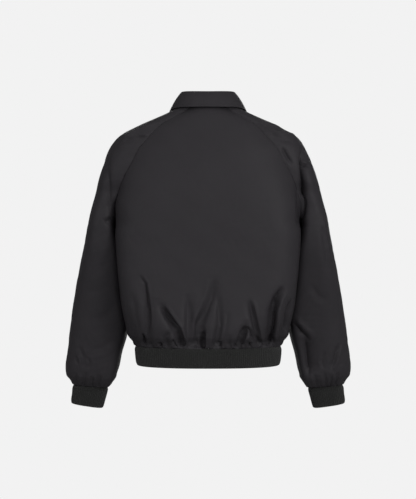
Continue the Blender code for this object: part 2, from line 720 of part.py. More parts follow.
def add_cloth():
    """The body panels, sleeves and collar, with matching wall edges at their seams."""
    nylon = material_of("nylon", NYLON_COLOUR, 0.5, 0.0)
    sleeve_points, sleeve_faces = sleeve_grid()
    front_points, front_faces = body_grid("front", 0, 1, FRONT_COLUMNS, FRONT_GATHERS)
    pieces = {
        "back_panel": body_grid("back", 1, -1, BACK_COLUMNS, BACK_GATHERS),
        "front_left": (front_points, front_faces),
        "front_right": (mirrored(front_points), [face[::-1] for face in front_faces]),
        "sleeve_left": (sleeve_points, sleeve_faces),
        "sleeve_right": (mirrored(sleeve_points), [face[::-1] for face in sleeve_faces]),
    }
    normals = shared_normals(pieces)
    for name, (points, faces) in pieces.items():
        add_object(name, *walled(points, faces, normals[name]), nylon)
    for name, (points, faces) in collar_grids().items():
        add_object(name, *walled(points, faces, vertex_normals(points, faces), COLLAR_WALL, 0.0), nylon)


def add_bands():
    knit = material_of("rib_knit", KNIT_COLOUR, 0.85, 0.0)
    add_object("hem_rib", *hem_band(), knit)
    points, faces = cuff_band()
    add_object("cuff_left", points, faces, knit)
    add_object("cuff_right", mirrored(points), [face[::-1] for face in faces], knit)


def add_zip():
    tape = material_of("zip_tape", TAPE_COLOUR, 0.8, 0.0)
    metal = material_of("zip_metal", METAL_COLOUR, 0.35, 1.0)
    points, faces = zip_strip(TAPE_EDGE, ZIP_TAPE_WIDTH, 0.0, -ZIP_TAPE_THICK)
    add_object("zip_tape_left", points, faces, tape)
    add_object("zip_tape_right", mirrored(points), [face[::-1] for face in faces], tape)
    near = SEAM
    far = SEAM + ZIP_CHAIN_THICK
    points, faces = zip_strip(-ZIP_CHAIN_HALF, ZIP_CHAIN_HALF, near, far, CHAIN_TOP_Z)
    add_object("zip_chain", points, faces, metal)
    add_slider(metal)


def add_slider(metal):
    """The slider at the top of the closed zip, and the pull tab that hangs from its pin."""
    front = SEAM + ZIP_CHAIN_THICK + SLIDER_CLEAR
    back = -ZIP_TAPE_THICK - SLIDER_CLEAR
    slider = add_object(
        "zip_slider", *extruded(slider_outline(5.2, 3.9, 6.5, -6.5), front, front + SLIDER_PLATE), metal
    )
    pieces = [extruded(slider_outline(5.2, 3.9, 6.5, -6.5), back - SLIDER_PLATE, back)]
    pieces.append(extruded([(-1.2, 9.4), (-1.2, 4.5), (1.2, 4.5), (1.2, 9.4)], back - 0.6, front + 0.6))
    plate_top = front + SLIDER_PLATE
    for low, high in ((TAB_AXIS_UP - BAIL_REACH, TAB_AXIS_UP - BAIL_REACH + 1.2), (3.8, 5.0)):
        pieces.append(extruded(rectangle(BAIL_HALF, low, high), plate_top - 0.3, plate_top + BAIL_RISE))
    bar = rectangle(BAIL_HALF, TAB_AXIS_UP - BAIL_REACH, 5.0)
    pieces.append(extruded(bar, plate_top + BAIL_RISE - 1.0, plate_top + BAIL_RISE + 0.1))
    for points, faces in pieces:
        combine(slider, add_object("slider_piece", points, faces, metal), "UNION")
    middle = plate_top + TAB_AXIS_OUT
    tab = add_object(
        "zip_pull", *extruded(tab_outline(), middle - TAB_THICK / 2, middle + TAB_THICK / 2), metal
    )
    slot = rectangle(BAIL_HALF + 0.6, TAB_AXIS_UP - TAB_SLOT, TAB_AXIS_UP - TAB_BAR / 2)
    cutter = add_object("slot_cutter", *extruded(slot, middle - TAB_THICK, middle + TAB_THICK), metal)
    combine(tab, cutter, "DIFFERENCE")


def main():
    for obj in list(bpy.data.objects):
        bpy.data.objects.remove(obj)
    add_cloth()
    add_bands()
    add_zip()


main()
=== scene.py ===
"""Bomber jacket: its cloth, rib knit and zip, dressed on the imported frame.

The frame is in metres with +Z up. The wearer faces -Y and the wearer's left is +X. The tables that shape
the jacket hold millimetres, as a pattern maker writes them. Run it as a script in Blender 4.5.
"""

import math
from collections import namedtuple

import bmesh
import bpy
import numpy as np
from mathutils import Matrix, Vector


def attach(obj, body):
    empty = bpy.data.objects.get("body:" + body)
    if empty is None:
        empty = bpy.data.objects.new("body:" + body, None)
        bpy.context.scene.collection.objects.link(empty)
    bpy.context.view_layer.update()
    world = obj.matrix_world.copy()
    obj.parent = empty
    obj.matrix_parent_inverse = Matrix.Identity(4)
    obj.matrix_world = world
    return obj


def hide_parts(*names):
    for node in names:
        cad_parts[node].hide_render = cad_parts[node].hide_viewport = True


bl_info = {
    "name": "Bomber Jacket",
    "version": (1, 0, 0),
    "blender": (4, 5, 0),
    "location": "View3D > Sidebar > Jacket",
    "description": "Builds a raglan bomber jacket with gathered cloth, rib knit and a closed front zip",
    "category": "Add Mesh",
}

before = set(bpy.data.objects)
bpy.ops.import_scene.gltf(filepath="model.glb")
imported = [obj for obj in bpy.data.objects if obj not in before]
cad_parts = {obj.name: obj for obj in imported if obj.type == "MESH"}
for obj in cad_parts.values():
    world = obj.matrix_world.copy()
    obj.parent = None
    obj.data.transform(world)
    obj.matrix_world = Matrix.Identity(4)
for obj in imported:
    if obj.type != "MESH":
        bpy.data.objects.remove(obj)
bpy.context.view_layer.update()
BODY_NAME = "jacket"

MM = 0.001


def records(kind, *rows):
    """Rows of numbers, as records of one kind."""
    return tuple(kind(*row) for row in rows)


# The jacket's shape, in millimetres.
HEM_ROUNDNESS = 2.4  # 2 is an ellipse, more is squarer
SLEEVE_ROUNDNESS = 2.7
INNER_ROUNDNESS = 5.0  # where a sleeve lies against the body, below the underarm
INNER_ROUND_Z = -225.0  # where it begins to be that
NECK_ROW_Z = 9.0
FRONT_RAGLAN_TOP_Z = -24.0
FRONT_NECK_Z = -62.0
UNDERARM_Z = -285.0
ARM_BEGINS = (270.0, 290.0)  # depths at which a sleeve comes to lie against the body
ARM_ENDS = (-535.0, -500.0)  # heights at which it comes off it
HEM_SEAM_Z = -572.0
CUFF_SEAM_Z = -679.5
HEM_GATHER_Z = -500.0  # below it, the rows of the body lie closer together
CUFF_GATHER_Z = -600.0  # and below this one, those of the sleeves
ZIP_OPENING = 4.5
SEAM_FADE = 9.0  # creases fade out towards a seam over this distance
GROOVE_WIDTH = 1.1
FAINT_GROOVE = 0.25  # of a groove's depth: the right raglan seam shows less at the back
TUCK_REACH = 2.4  # how far from a band its seam draws the cloth in
FAR = 1e3
WAVE_FADE = 30.0  # waves and rumples grow over this distance from a side seam
TOP_FADE = 40.0  # and waves over this one from the upper edge
BAND_EASE = 6.0  # folds lessen over this distance towards a band
BAND_SHARE = 0.1  # down to this share of their depth
SIDE_PUCKER = 0.22  # of the pucker depth, along the side seams
SIDE_PUCKER_PITCH = 9.0
SIDE_PUCKER_REACH = 7.0
PRESS_EASE = 12.0  # a sleeve comes to press on the body over this height below the underarm
HEM_EASE = 14.0  # gathers flatten over this height towards the hem
SEAM_GAP = 0.12  # from the edge of a piece to its seam line
ARM_CLEAR = 0.9  # between the body and a sleeve that presses against it
ARM_SOFTNESS = 1.2

BodySection = namedtuple("BodySection", "z side_x side_y back_y front_y roundness")
BODY = records(
    BodySection,
    (9, 40, 0, 68, -72, 2.4),
    (-20, 82, -2, 92, -84, 2.4),
    (-67, 139, -5, 114, -101, 2.5),
    (-130, 184, -8, 127, -118, 2.8),
    (-175, 207, -10, 131, -126, 3.4),
    (-219, 225, -14, 133, -131, 4.3),
    (-285, 224.8, -24, 132.5, -132, 5.5),
    (-330, 222.5, -20, 131, -131, 6),
    (-385, 218, -15, 130.5, -130, 6),
    (-430, 213.5, -11, 131, -130.5, 5.6),
    (-471, 209.5, -8, 133, -132, 4.6),
    (-520, 200.5, -4, 136, -135, 3.4),
    (-543, 196.5, -3, 134, -133, 2.8),
    (-560, 185.5, -2, 125, -124, 2.45),
    (-572, 180, -2, 117, -117, 2.4),
)

# seam_angle is where the sleeve's round starts: 90 degrees is its rearmost point, 180 is against the body.
SleeveSection = namedtuple(
    "SleeveSection", "z outer_x back_x front_x middle_y back_depth front_depth seam_angle tilt"
)
SLEEVE = records(
    SleeveSection,
    (9, 74, 40, 50, 0, 58, 48, 90, 0),
    (-4, 98.5, 55, 62, -3, 65, 62, 90, 0),
    (-20, 132.5, 82, 84, -5, 79, 73, 90, 0),
    (-40, 176, 114, 110, -5, 88, 84, 90, 0),
    (-67, 222, 139, 134, -6, 96, 92, 90, 0),
    (-95, 242, 163, 156, -7, 100, 97, 90, 0),
    (-130, 256, 187, 178, -8, 100, 99, 92, 0),
    (-170, 268, 212, 203, -10, 96, 97, 95, 0),
    (-204, 276, 230.8, 224, -12, 86, 93, 104, 0),
    (-232, 283.5, 248.7, 246, -15, 86, 90, 130, 0),
    (-258, 290.5, 256, 256, -19, 89, 90, 154, 0),
    (-285, 296, 260.8, 260.8, -24, 92, 92, 180, 0),
    (-330, 305.5, 261, 261, -32, 93, 93, 180, 0),
    (-385, 318, 264.5, 264.5, -42, 88, 88, 180, 0),
    (-450, 331, 268.5, 268.5, -52, 79, 79, 180, 0),
    (-505, 340.5, 270, 270, -59, 70, 70, 180, 0),
    (-550, 347.5, 276, 276, -65, 65, 65, 180, 0),
    (-595, 353, 285, 285, -70, 61, 61, 180, 0.02),
    (-632, 357, 291, 291, -74, 58, 58, 180, 0.04),
    (-652, 356, 293.5, 293.5, -76, 55, 55, 180, 0.06),
    (-667, 346.5, 293.5, 293.5, -77.5, 46, 46, 180, 0.08),
    (-679.5, 340, 295, 295, -78.5, 34, 34, 180, 0.08),
)

# Gathers above the hem seam, as soft troughs that run down to it.
GATHER_STRENGTH = 1.5
Gather = namedtuple("Gather", "top_x top_z middle_x middle_z hem_x depth half_width")
BACK_GATHERS = records(
    Gather,
    (190, -470, 182, -520, 171, 5, 9),
    (163, -395, 143, -470, 143, 8, 10),
    (122, -450, 88, -502, 57, 8, 11),
    (96, -530, 95, -550, 94, 5, 8),
    (46, -455, 42, -510, 38, 5, 9),
    (12, -515, 12, -545, 12, 8, 7),
    (-12, -398, 12, -470, 28, 5, 11),
    (-34, -450, -26, -510, -18, 5, 9),
    (-48, -535, -48, -550, -49, 5, 7),
    (-92, -500, -84, -540, -77, 7, 8),
    (-94, -455, -112, -505, -121, 6, 10),
    (-178, -425, -150, -480, -140, 9, 11),
    (-196, -465, -186, -515, -170, 6, 9),
)
FRONT_GATHERS = records(
    Gather,
    (184, -460, 172, -515, 166, 6, 9),
    (150, -430, 142, -490, 136, 7, 10),
    (104, -470, 110, -520, 107, 6, 9),
    (96, -410, 84, -480, 80, 7, 11),
    (54, -470, 56, -520, 55, 6, 9),
    (36, -525, 37, -548, 38, 4, 7),
)

CollarSection = namedtuple("CollarSection", "along roll_x roll_y roll_z edge_x edge_y edge_z")
COLLAR = records(
    CollarSection,
    (0.00, 0, 49, 43, 0, 81, 4),
    (0.14, 22, 47.5, 43.3, 30, 79, 4),
    (0.32, 50, 36, 44.5, 67, 62, 5),
    (0.45, 61, 14, 45.5, 89, 27, 3.5),
    (0.58, 60, -12, 38, 95, -13, 1.5),
    (0.74, 47, -42, 12, 91, -56, -17),
    (0.88, 26, -62, -18, 76, -88, -55),
    (1.00, 6, -75, -40, 48, -101, -96),
)

BandLevel = namedtuple("BandLevel", "z half_width half_depth tilt centre_x centre_y", defaults=(0, 0, 0))
HEM_LEVELS = records(
    BandLevel,
    (-572.3, 179, 117),
    (-590, 178, 116.5),
    (-611, 175.5, 115.5),
    (-618.5, 172.5, 112.5),
)
CUFF_LEVELS = records(
    BandLevel,
    (-679.8, 44.5, 33, 0.08, 295, -78.5),
    (-700, 42, 31, 0.10, 298.5, -81),
    (-722, 40, 30, 0.14, 303, -83.5),
    (-729, 38, 28, 0.15, 303.7, -84.5),
)
BAND_WALL = 3.0
SEAM_LEDGE = 5.4  # how far in a band reaches under the edge of the gathered cloth
RIB_RISE = 1.0

# A crease runs along a path of (x, z) points. Its depth is inward, or outward where negative. Lean makes one
# side gentle and the other steep. A held crease stays deep at its last point, where a seam gathers it. The
# ridge is a fold that stands out beside the trough, as a share of its depth, on the gentle side or, where it
# is negative, on the steep side.
Crease = namedtuple("Crease", "path depth half_width lean held ridge", defaults=(0.0,))
LEAN_SHARE = 0.6
RIDGE_PLACE = 1.7  # in half widths from the trough
RIDGE_WIDTH = 0.8
BACK_CREASES = records(
    Crease,
    (((161, -399), (149, -418), (145, -446), (140, -484), (140, -532)), 7, 4.4, 0.3, False, 0.3),
    (((156, -536), (151, -549), (150, -562)), 9, 4.2, 0, True, 0.3),
    (((110, -472), (94, -496), (72, -526), (62, -558)), 13, 6.5, 0.5, True, 0.4),
    (((48, -440), (46, -515), (44, -566)), 6, 10, 0.3, True),
    (((-17, -408), (-7, -451), (6, -480), (24, -512), (28, -560)), 8, 8.5, 0.5, True, -0.4),
    (((12, -530), (11, -572)), 13, 4.2, 0, True, 0.3),
    (((-22, -440), (-27, -514), (-15, -566)), 4.5, 6.5, 0.3, True, 0.2),
    (((-47, -480), (-40, -530), (-30, -562)), 4, 6, 0, True),
    (((-26, -554), (-27, -572)), 8, 3.6, 0, True),
    (((-89, -516), (-80, -541), (-68, -566)), 14, 6, 0.3, True, 0.3),
    (((-89, -520), (-104, -536), (-115, -556)), 9, 5.5, 0.3, False, 0.3),
    (((-98, -538), (-87, -554), (-78, -568)), -4.5, 3.8, 0, True),
    (((-96, -456), (-108, -508), (-119, -556)), 8, 6, 0.4, True, 0.5),
    (((-177, -425), (-161, -453), (-153, -483), (-152, -518), (-147, -558)), 19, 7.5, 0.4, True, 0.3),
    (((-201, -452), (-190, -490), (-186, -540)), 17, 7, 0.4, False, 0.2),
    (((84, -550), (74, -567)), 7, 3.8, 0, True),
    (((112, -556), (112, -572)), 8, 4, 0, True),
    (((-99, -556), (-99, -572)), 8, 4, 0, True),
    (((-131, -554), (-131, -572)), 8, 4, 0, True),
    (((-158, -552), (-158, -572)), 6, 4, 0, True),
    (((136, -558), (135, -572)), 6, 4, 0, True),
    (((88, -528), (100, -545), (96, -570)), 4.5, 6, 0, True),
    (((178, -440), (172, -490), (160, -540)), 3, 8, 0.3, False),
    (((-225, -103), (-222, -163), (-220, -192), (-217, -242), (-215, -290)), 9, 8, 0.7, False),
)
# Each front panel has its own, with x from the centre line outward.
LEFT_FRONT_CREASES = records(
    Crease,
    (((184, -430), (172, -490), (166, -561)), 4, 7.5, 0.4, True),
    (((152, -400), (144, -470), (137, -561)), 4.5, 8, -0.4, True),
    (((98, -420), (86, -485), (80, -561)), 4.5, 8, 0.5, True),
    (((106, -500), (109, -530), (107, -566)), 4.5, 6, 0, True),
    (((55, -470), (56, -520), (55, -566)), 4, 7, -0.3, True),
    (((124, -545), (124, -569)), 4.5, 5, 0, True),
    (((37, -530), (38, -568)), 3, 5, 0, True),
    (((178, -130), (150, -165), (120, -182)), 2.2, 9, 0.4, False),
    (((200, -215), (168, -238), (138, -242)), 2, 9, -0.4, False),
    (((30, -110), (48, -190), (50, -260)), 1.2, 12, 0.3, False),
)
RIGHT_FRONT_CREASES = records(
    Crease,
    (((180, -445), (170, -500), (160, -561)), 4, 7.5, -0.4, True),
    (((140, -385), (134, -460), (128, -561)), 4, 8.5, 0.4, True),
    (((92, -450), (80, -500), (72, -561)), 4.5, 7.5, 0.4, True),
    (((100, -520), (101, -540), (99, -568)), 4.5, 5.5, 0, True),
    (((50, -440), (54, -510), (50, -566)), 4, 7, 0.3, True),
    (((147, -548), (147, -569)), 4.5, 5, 0, True),
    (((184, -150), (152, -172), (118, -180)), 2, 9, 0.4, False),
    (((204, -235), (176, -246), (150, -240)), 2.2, 8, -0.4, False),
    (((35, -130), (44, -210), (40, -300)), 1, 12, -0.3, False),
)
# Sleeve creases are as on a left sleeve. The rear ones are seen from behind, the front ones from the front.
LEFT_SLEEVE_REAR = records(
    Crease,
    (((246, -118), (240, -142)), 5, 6, 0, False),
    (((240, -140), (236, -195), (234, -250)), 6, 8, -0.4, False),
    (((229, -260), (238, -267), (248, -272)), 5, 6, 0.5, False, -0.3),
    (((210, -78), (170, -54), (124, -36)), -6, 4.6, 0.4, False),
    (((202, -70), (170, -68), (136, -66)), -4.5, 4.4, 0.4, False),
    (((200, -78), (175, -70), (150, -72)), 3, 5, 0, False),
    (((214, -92), (195, -87)), -1.5, 4, 0, False),
    (((232, -330), (246, -372), (270, -392)), 1.2, 10, 0.4, False),
    (((240, -420), (262, -438), (300, -440)), 1, 10, -0.4, False),
    (((228, -470), (252, -500), (284, -508)), 1.4, 11, 0.4, False),
    (((232, -555), (258, -580), (292, -584)), 1.8, 10, -0.4, False, 0.3),
    (((318, -575), (306, -604), (309, -632)), 2.6, 5, 0.3, False, 0.4),
    (((300, -596), (292, -616), (296, -634)), 2.4, 4.5, -0.3, False, 0.4),
    (((328, -600), (322, -622)), 2.2, 4.5, 0.3, False, 0.4),
    (((300, -640), (306, -660), (308, -676)), 3.5, 5, 0.3, True, 0.4),
    (((266, -646), (270, -662), (272, -676)), 3.5, 5, 0, True, 0.3),
    (((284, -650), (288, -676)), 3, 4, 0, True, 0.3),
    (((330, -640), (326, -660), (322, -676)), 3, 5, 0, True, 0.3),
)
RIGHT_SLEEVE_REAR = records(
    Crease,
    (((229, -88), (228, -150), (225, -192), (221, -236), (219, -266)), 25, 7.5, -0.3, False),
    (((222, -124), (233, -132), (247, -135)), 9, 4.4, 0.3, False, -0.4),
    (((121, -34), (140, -47), (161, -58), (186, -58), (205, -62), (217, -74)), -6, 4.6, 0.3, False),
    (((117, -27), (138, -37), (176, -46)), -5.5, 4.2, 0.4, False),
    (((150, -66), (175, -74), (205, -80)), 3.6, 6, 0, False),
    (((177, -96), (188, -118), (199, -133)), 5, 5, 0.3, False, 0.5),
    (((172, -110), (181, -130), (186, -152)), 2.6, 5, 0, False),
    (((272, -252), (284, -298), (292, -342), (300, -386)), -2.6, 3.6, 0, False),
    (((266, -262), (277, -306), (284, -350), (290, -388)), 3, 6, 0, False),
    (((250, -420), (268, -450), (292, -462)), 2, 9, 0.4, False, 0.3),
    (((204, -514), (226, -538), (250, -560)), 9, 8, 0.75, False, -0.3),
    (((236, -552), (240, -600), (248, -650)), 17, 14, -0.4, False),
    (((324, -567), (316, -590), (310, -613), (302, -633)), 5.5, 5, 0.2, False, -0.4),
    (((286, -588), (280, -612), (284, -630)), 2.2, 5, -0.3, False, 0.4),
    (((286, -640), (290, -660), (290, -676)), 3.5, 5, 0, True, 0.3),
    (((304, -648), (304, -676)), 3, 4, 0, True, 0.3),
    (((322, -638), (320, -658), (316, -676)), 3.5, 5, 0, True, 0.3),
    (((262, -644), (266, -662), (268, -676)), 3, 5, 0, True, 0.3),
)
SLEEVE_FRONT = records(
    Crease,
    (((238, -200), (246, -236), (262, -262)), 4, 10, 0.4, False),
    (((226, -150), (240, -178), (258, -190)), 2.5, 9, 0.4, False),
    (((236, -360), (268, -388), (304, -392)), 4, 10, 0.5, False),
    (((240, -420), (276, -436), (318, -428)), 4.5, 9, -0.5, False),
    (((238, -470), (270, -492), (310, -498)), 3, 9, 0.4, False),
    (((244, -560), (276, -586), (322, -590)), 2.5, 9, 0.4, False),
    (((278, -642), (284, -660), (286, -676)), 3, 6, 0, True),
    (((318, -642), (314, -660), (312, -676)), 3, 6, 0, True),
)
# Seen from the side, with y for x: the first on the outer side of a sleeve, the second against the body.
SLEEVE_OUTER = records(
    Crease,
    (((40, -120), (10, -150), (-40, -158)), 1.6, 9, 0.4, False),
    (((-100, -370), (-60, -396), (-10, -392)), 2.6, 9, 0.5, False),
    (((-110, -430), (-70, -448), (-20, -440)), 3, 9, -0.5, False),
    (((-108, -545), (-80, -566), (-40, -570)), 2, 9, 0.4, False),
    (((-96, -640), (-90, -660), (-88, -676)), 2.5, 6, 0, True),
    (((-62, -640), (-68, -660), (-70, -676)), 2.5, 6, 0, True),
)
SLEEVE_INNER = records(
    Crease,
    (((40, -330), (0, -360), (-50, -372)), 3, 9, 0.4, False),
    (((20, -400), (-20, -424), (-80, -430)), 3.5, 9, -0.5, False),
    (((-10, -470), (-50, -492), (-90, -496)), 2.5, 9, 0.4, False),
    (((-60, -640), (-70, -660), (-74, -676)), 2.5, 6, 0, True),
)


def column(table, name):
    return np.array([getattr(row, name) for row in table], float)


def smooth_value(table, name, at, key="z"):
    """The named column at any height or place, on a smooth curve that never overshoots its rows."""
    places = column(table, key)
    values = column(table, name)
    if places[0] > places[-1]:
        places, values = places[::-1], values[::-1]
    steps = np.diff(places)
    slopes = np.diff(values) / steps
    tangents = np.zeros(len(values))
    for i in range(1, len(values) - 1):
        if slopes[i - 1] * slopes[i] > 0:
            before = 2 * steps[i] + steps[i - 1]
            after = steps[i] + 2 * steps[i - 1]
            tangents[i] = (before + after) / (before / slopes[i - 1] + after / slopes[i])
    tangents[0] = slopes[0]
    tangents[-1] = slopes[-1]
    at = np.clip(at, places[0], places[-1])
    i = np.clip(np.searchsorted(places, at) - 1, 0, len(steps) - 1)
    u = (at - places[i]) / steps[i]
    return (
        (1 + 2 * u) * (1 - u) ** 2 * values[i]
        + u * (1 - u) ** 2 * steps[i] * tangents[i]
        + u * u * (3 - 2 * u) * values[i + 1]
        + u * u * (u - 1) * steps[i] * tangents[i + 1]
    )


def signed_power(values, power):
    return np.sign(values) * np.abs(values) ** power


def eased(values, low, high):
    t = np.clip((values - low) / (high - low), 0, 1)
    return t * t * (3 - 2 * t)


def front_height(z, top):
    """The height on the front of a row that is at z on the back: front rows start lower, at the neck."""
    lowered = UNDERARM_Z + (z - UNDERARM_Z) * (top - UNDERARM_Z) / (NECK_ROW_Z - UNDERARM_Z)
    return np.where(z <= UNDERARM_Z, z, lowered)


def sleeve_surface(z, share):
    """Points of the left sleeve. share is 1 at the back seam, 0 on the outer side, -1 at the front seam."""
    z, share = np.broadcast_arrays(np.asarray(z, float), np.asarray(share, float))
    outer = smooth_value(SLEEVE, "outer_x", z)
    start = np.radians(smooth_value(SLEEVE, "seam_angle", z))
    crowding = 1 + 0.5 * (start - math.pi / 2) / (math.pi / 2)
    angle = start * signed_power(share, crowding)
    rear = angle >= 0
    centre = np.where(rear, smooth_value(SLEEVE, "back_x", z), smooth_value(SLEEVE, "front_x", z))
    depth = np.where(rear, smooth_value(SLEEVE, "back_depth", z), smooth_value(SLEEVE, "front_depth", z))
    inner = np.interp(-z, (-INNER_ROUND_Z, -UNDERARM_Z), (SLEEVE_ROUNDNESS, INNER_ROUNDNESS))
    power = 2 / np.where(np.cos(angle) < 0, inner, SLEEVE_ROUNDNESS)
    x = centre + (outer - centre) * signed_power(np.cos(angle), power)
    y = smooth_value(SLEEVE, "middle_y", z) + depth * signed_power(np.sin(angle), power)
    full = np.maximum(np.sin(np.minimum(start, math.pi / 2)), 1e-6)
    forward = np.maximum(0.0, -np.sin(angle) / full)
    drop = (z - front_height(z, FRONT_RAGLAN_TOP_Z)) * forward**1.5
    tilt = smooth_value(SLEEVE, "tilt", z)
    return np.stack([x, y, z - drop + tilt * (x - centre)], axis=-1)


def gather_depth(gathers, x, z):
    """How far the cloth is drawn in at each place, from the troughs that run down to the hem seam."""
    drawn = np.zeros_like(x)
    for g in gathers:
        centre = np.interp(z, (HEM_SEAM_Z, g.middle_z, g.top_z), (g.hem_x, g.middle_x, g.top_x))
        grown = np.clip((g.top_z - z) / (g.top_z - HEM_SEAM_Z), 0.0, 1.0)
        held = 1 - np.maximum(0.0, (HEM_SEAM_Z + HEM_EASE - z) / HEM_EASE)
        reach = g.half_width * (1.3 - 0.3 * grown)
        across = np.exp(-(((x - centre) / reach) ** 2))
        drawn += GATHER_STRENGTH * g.depth * np.sin(math.pi / 2 * grown) * held * across
    return drawn


def pressed(x, y, z):
    """How far out the body may be at its sides: each sleeve presses it in below the underarm."""
    middle_y = smooth_value(SLEEVE, "middle_y", z)
    depth = smooth_value(SLEEVE, "back_depth", z)
    off = np.minimum(np.abs(y - middle_y) / depth, 1.0)
    centre = smooth_value(SLEEVE, "back_x", z)
    bulge = (1 - off**INNER_ROUNDNESS) ** (1 / INNER_ROUNDNESS)
    reach = (smooth_value(SLEEVE, "outer_x", z) - centre) * bulge
    limit = centre - reach - ARM_CLEAR
    given_way = 0.5 * (x + limit - np.hypot(x - limit, 2 * ARM_SOFTNESS))
    return np.where(off < 1, x + (given_way - x) * np.clip((UNDERARM_Z - z) / PRESS_EASE, 0, 1), x)


def body_surface(side, z, share):
    """Points of the body: share is 0 on the centre line, 1 at the left seam and -1 at the right one."""
    z, share = np.broadcast_arrays(np.asarray(z, float), np.asarray(share, float))
    sign = 1 if side == "back" else -1
    raglan = sleeve_surface(z, float(sign))
    low = z <= UNDERARM_Z
    side_y = smooth_value(BODY, "side_y", z)
    end_x = np.where(low, smooth_value(BODY, "side_x", z), raglan[..., 0])
    end_y = np.where(low, side_y, raglan[..., 1])
    end_z = np.where(low, z, raglan[..., 2])
    centre_z = z if side == "back" else front_height(z, FRONT_NECK_Z)
    centre_y = smooth_value(BODY, side + "_y", z)
    roundness = smooth_value(BODY, "roundness", z)
    end_share = np.clip((end_y - side_y) / (centre_y - side_y), 0.0, 1.0)
    end_angle = np.arccos(end_share ** (roundness / 2))
    spread = end_x / np.sin(end_angle) ** (2 / roundness)
    angle = np.abs(share) * end_angle
    x = np.sign(share) * spread * np.sin(angle) ** (2 / roundness)
    if side == "front":
        x = ZIP_OPENING + x * (end_x - ZIP_OPENING) / end_x
    around = np.abs(np.cos(angle)) ** (2 / roundness)
    row_z = centre_z + (end_z - centre_z) * share * share
    drawn = gather_depth(BACK_GATHERS if side == "back" else FRONT_GATHERS, x, row_z)
    y = side_y + (centre_y - side_y) * around - sign * drawn * np.sqrt(around)
    x = x - np.sign(x) * drawn * (1 - around) ** 2
    x = np.sign(x) * pressed(np.abs(x), y, z)
    return np.stack([x, y, row_z], axis=-1)


def unit(vectors):
    """The same directions with length one."""
    return vectors / np.maximum(np.linalg.norm(vectors, axis=-1, keepdims=True), 1e-9)


def run_lengths(points):
    """How far each point lies along its line, for one line of points or for each row of a grid."""
    steps = np.linalg.norm(np.diff(points, axis=-2), axis=-1)
    return np.concatenate([np.zeros_like(steps[..., :1]), np.cumsum(steps, axis=-1)], axis=-1)


def read_along(values, lengths, places):
    """The values that a line has at these places along it, from those at its points."""
    return np.stack([np.interp(places, lengths, values[:, k]) for k in range(3)], axis=1)


def resampled(points, count):
    """The same line through this many points, evenly spaced along it."""
    lengths = run_lengths(points)
    return read_along(points, lengths, np.linspace(0, lengths[-1], count))


CROWDING = 2.6  # how closely the points lie together at the ends


def crowded(count):
    """Shares from 0 to 1 that lie close together near both ends, where a squarish round turns fastest."""
    place = np.linspace(0, 1, count)
    return place**CROWDING / (place**CROWDING + (1 - place) ** CROWDING)


def even_rows(rows, columns, gaps):
    """The same rows with their points evenly spaced, ending a small gap inside both ends."""
    lengths = run_lengths(rows)
    places = [np.linspace(gap, length[-1] - gap, columns) for gap, length in zip(gaps, lengths)]
    return np.array([read_along(*line) for line in zip(rows, lengths, places)])


def neck_line(columns):
    """The neck seam from the left front round the back to the right front."""
    back = body_surface("back", NECK_ROW_Z, np.linspace(0, 1, 60))
    sleeve = sleeve_surface(NECK_ROW_Z, np.linspace(1, -1, 80))
    front = body_surface("front", NECK_ROW_Z, np.linspace(1, 0, 60))
    half = np.concatenate([back, sleeve[1:], front[1:]])[::-1]
    left = resampled(half, columns // 2 + 1)
    return np.concatenate([left, (left * (-1, 1, 1))[::-1][1:]])


def collar_line(prefix, columns):
    """The collar's roll line or lower edge, from the left front round the back to the right front."""
    place = np.linspace(-1, 1, columns + 1)
    x, y, z = (smooth_value(COLLAR, prefix + axis, np.abs(place), "along") for axis in ("_x", "_y", "_z"))
    return np.stack([-np.sign(place) * x, y, z], axis=-1)


def grid_normals(points, closed_rows=None):
    """Unit normals of a grid of points. Rows marked as closed meet themselves at their ends."""
    down = np.gradient(points, axis=0)
    across = np.gradient(points, axis=1)
    if closed_rows is not None:
        wrapped = points[:, 1] - points[:, -2]
        across[closed_rows, 0] = wrapped[closed_rows] / 2
        across[closed_rows, -1] = wrapped[closed_rows] / 2
    return unit(np.cross(across, down))


def facing_out(points, normals):
    """The normals, turned to point away from the middle of the rows."""
    middle = points.mean(axis=1, keepdims=True)
    return normals if np.sum(normals * (points - middle)) > 0 else -normals


def arc_lengths(points):
    """Lengths along the rows, from their middle, and down the columns, as of the piece laid flat."""
    across = run_lengths(points)
    across -= across[:, across.shape[1] // 2, None]
    drops = np.linalg.norm(np.diff(points, axis=0), axis=-1).mean(axis=1)
    down = np.concatenate([[0], np.cumsum(drops)])
    return across, np.broadcast_to(down[:, None], across.shape)


def edge_distance(grid, open_rows):
    """Ways in the cloth from each point: to the nearer side edge, up to the first row and down to the last.

    The rows from open_rows on close on themselves, so they have no side edge.
    """
    from_first = run_lengths(grid)
    sideways = np.minimum(from_first, from_first[:, -1:] - from_first)
    sideways[open_rows:] = FAR
    from_top = run_lengths(grid.swapaxes(0, 1)).T
    return sideways, from_top, from_top[-1:] - from_top


def wave(along, pitch, seed):
    """An uneven wave between about -1 and 1, as thread tension gives along a seam."""
    shift = 1.7 * seed
    return (
        0.5 * np.sin(2 * math.pi * along / pitch + shift)
        + 0.3 * np.sin(2 * math.pi * along / (pitch * 0.63) + 2.1 * shift)
        + 0.3 * np.sin(2 * math.pi * along / (pitch * 1.71) + 0.6 * shift)
    )


def ring_wave(share, counts, seed):
    """An uneven wave round a closed ring, which meets itself where the ring does."""
    waves = enumerate(zip((0.5, 0.3, 0.3), counts))
    return sum(part * np.sin(math.pi * count * share + (k + 1) * seed) for k, (part, count) in waves)


DEEP_POWER = 1.2  # a crease deeper than its half width has a sharper bottom
SHALLOW_POWER = 1.6


def end_fade(share):
    """How whole a crease is, at this share of its length from one of its ends."""
    return np.sin(math.pi / 2 * np.minimum(1, 3 * share + 0.05))


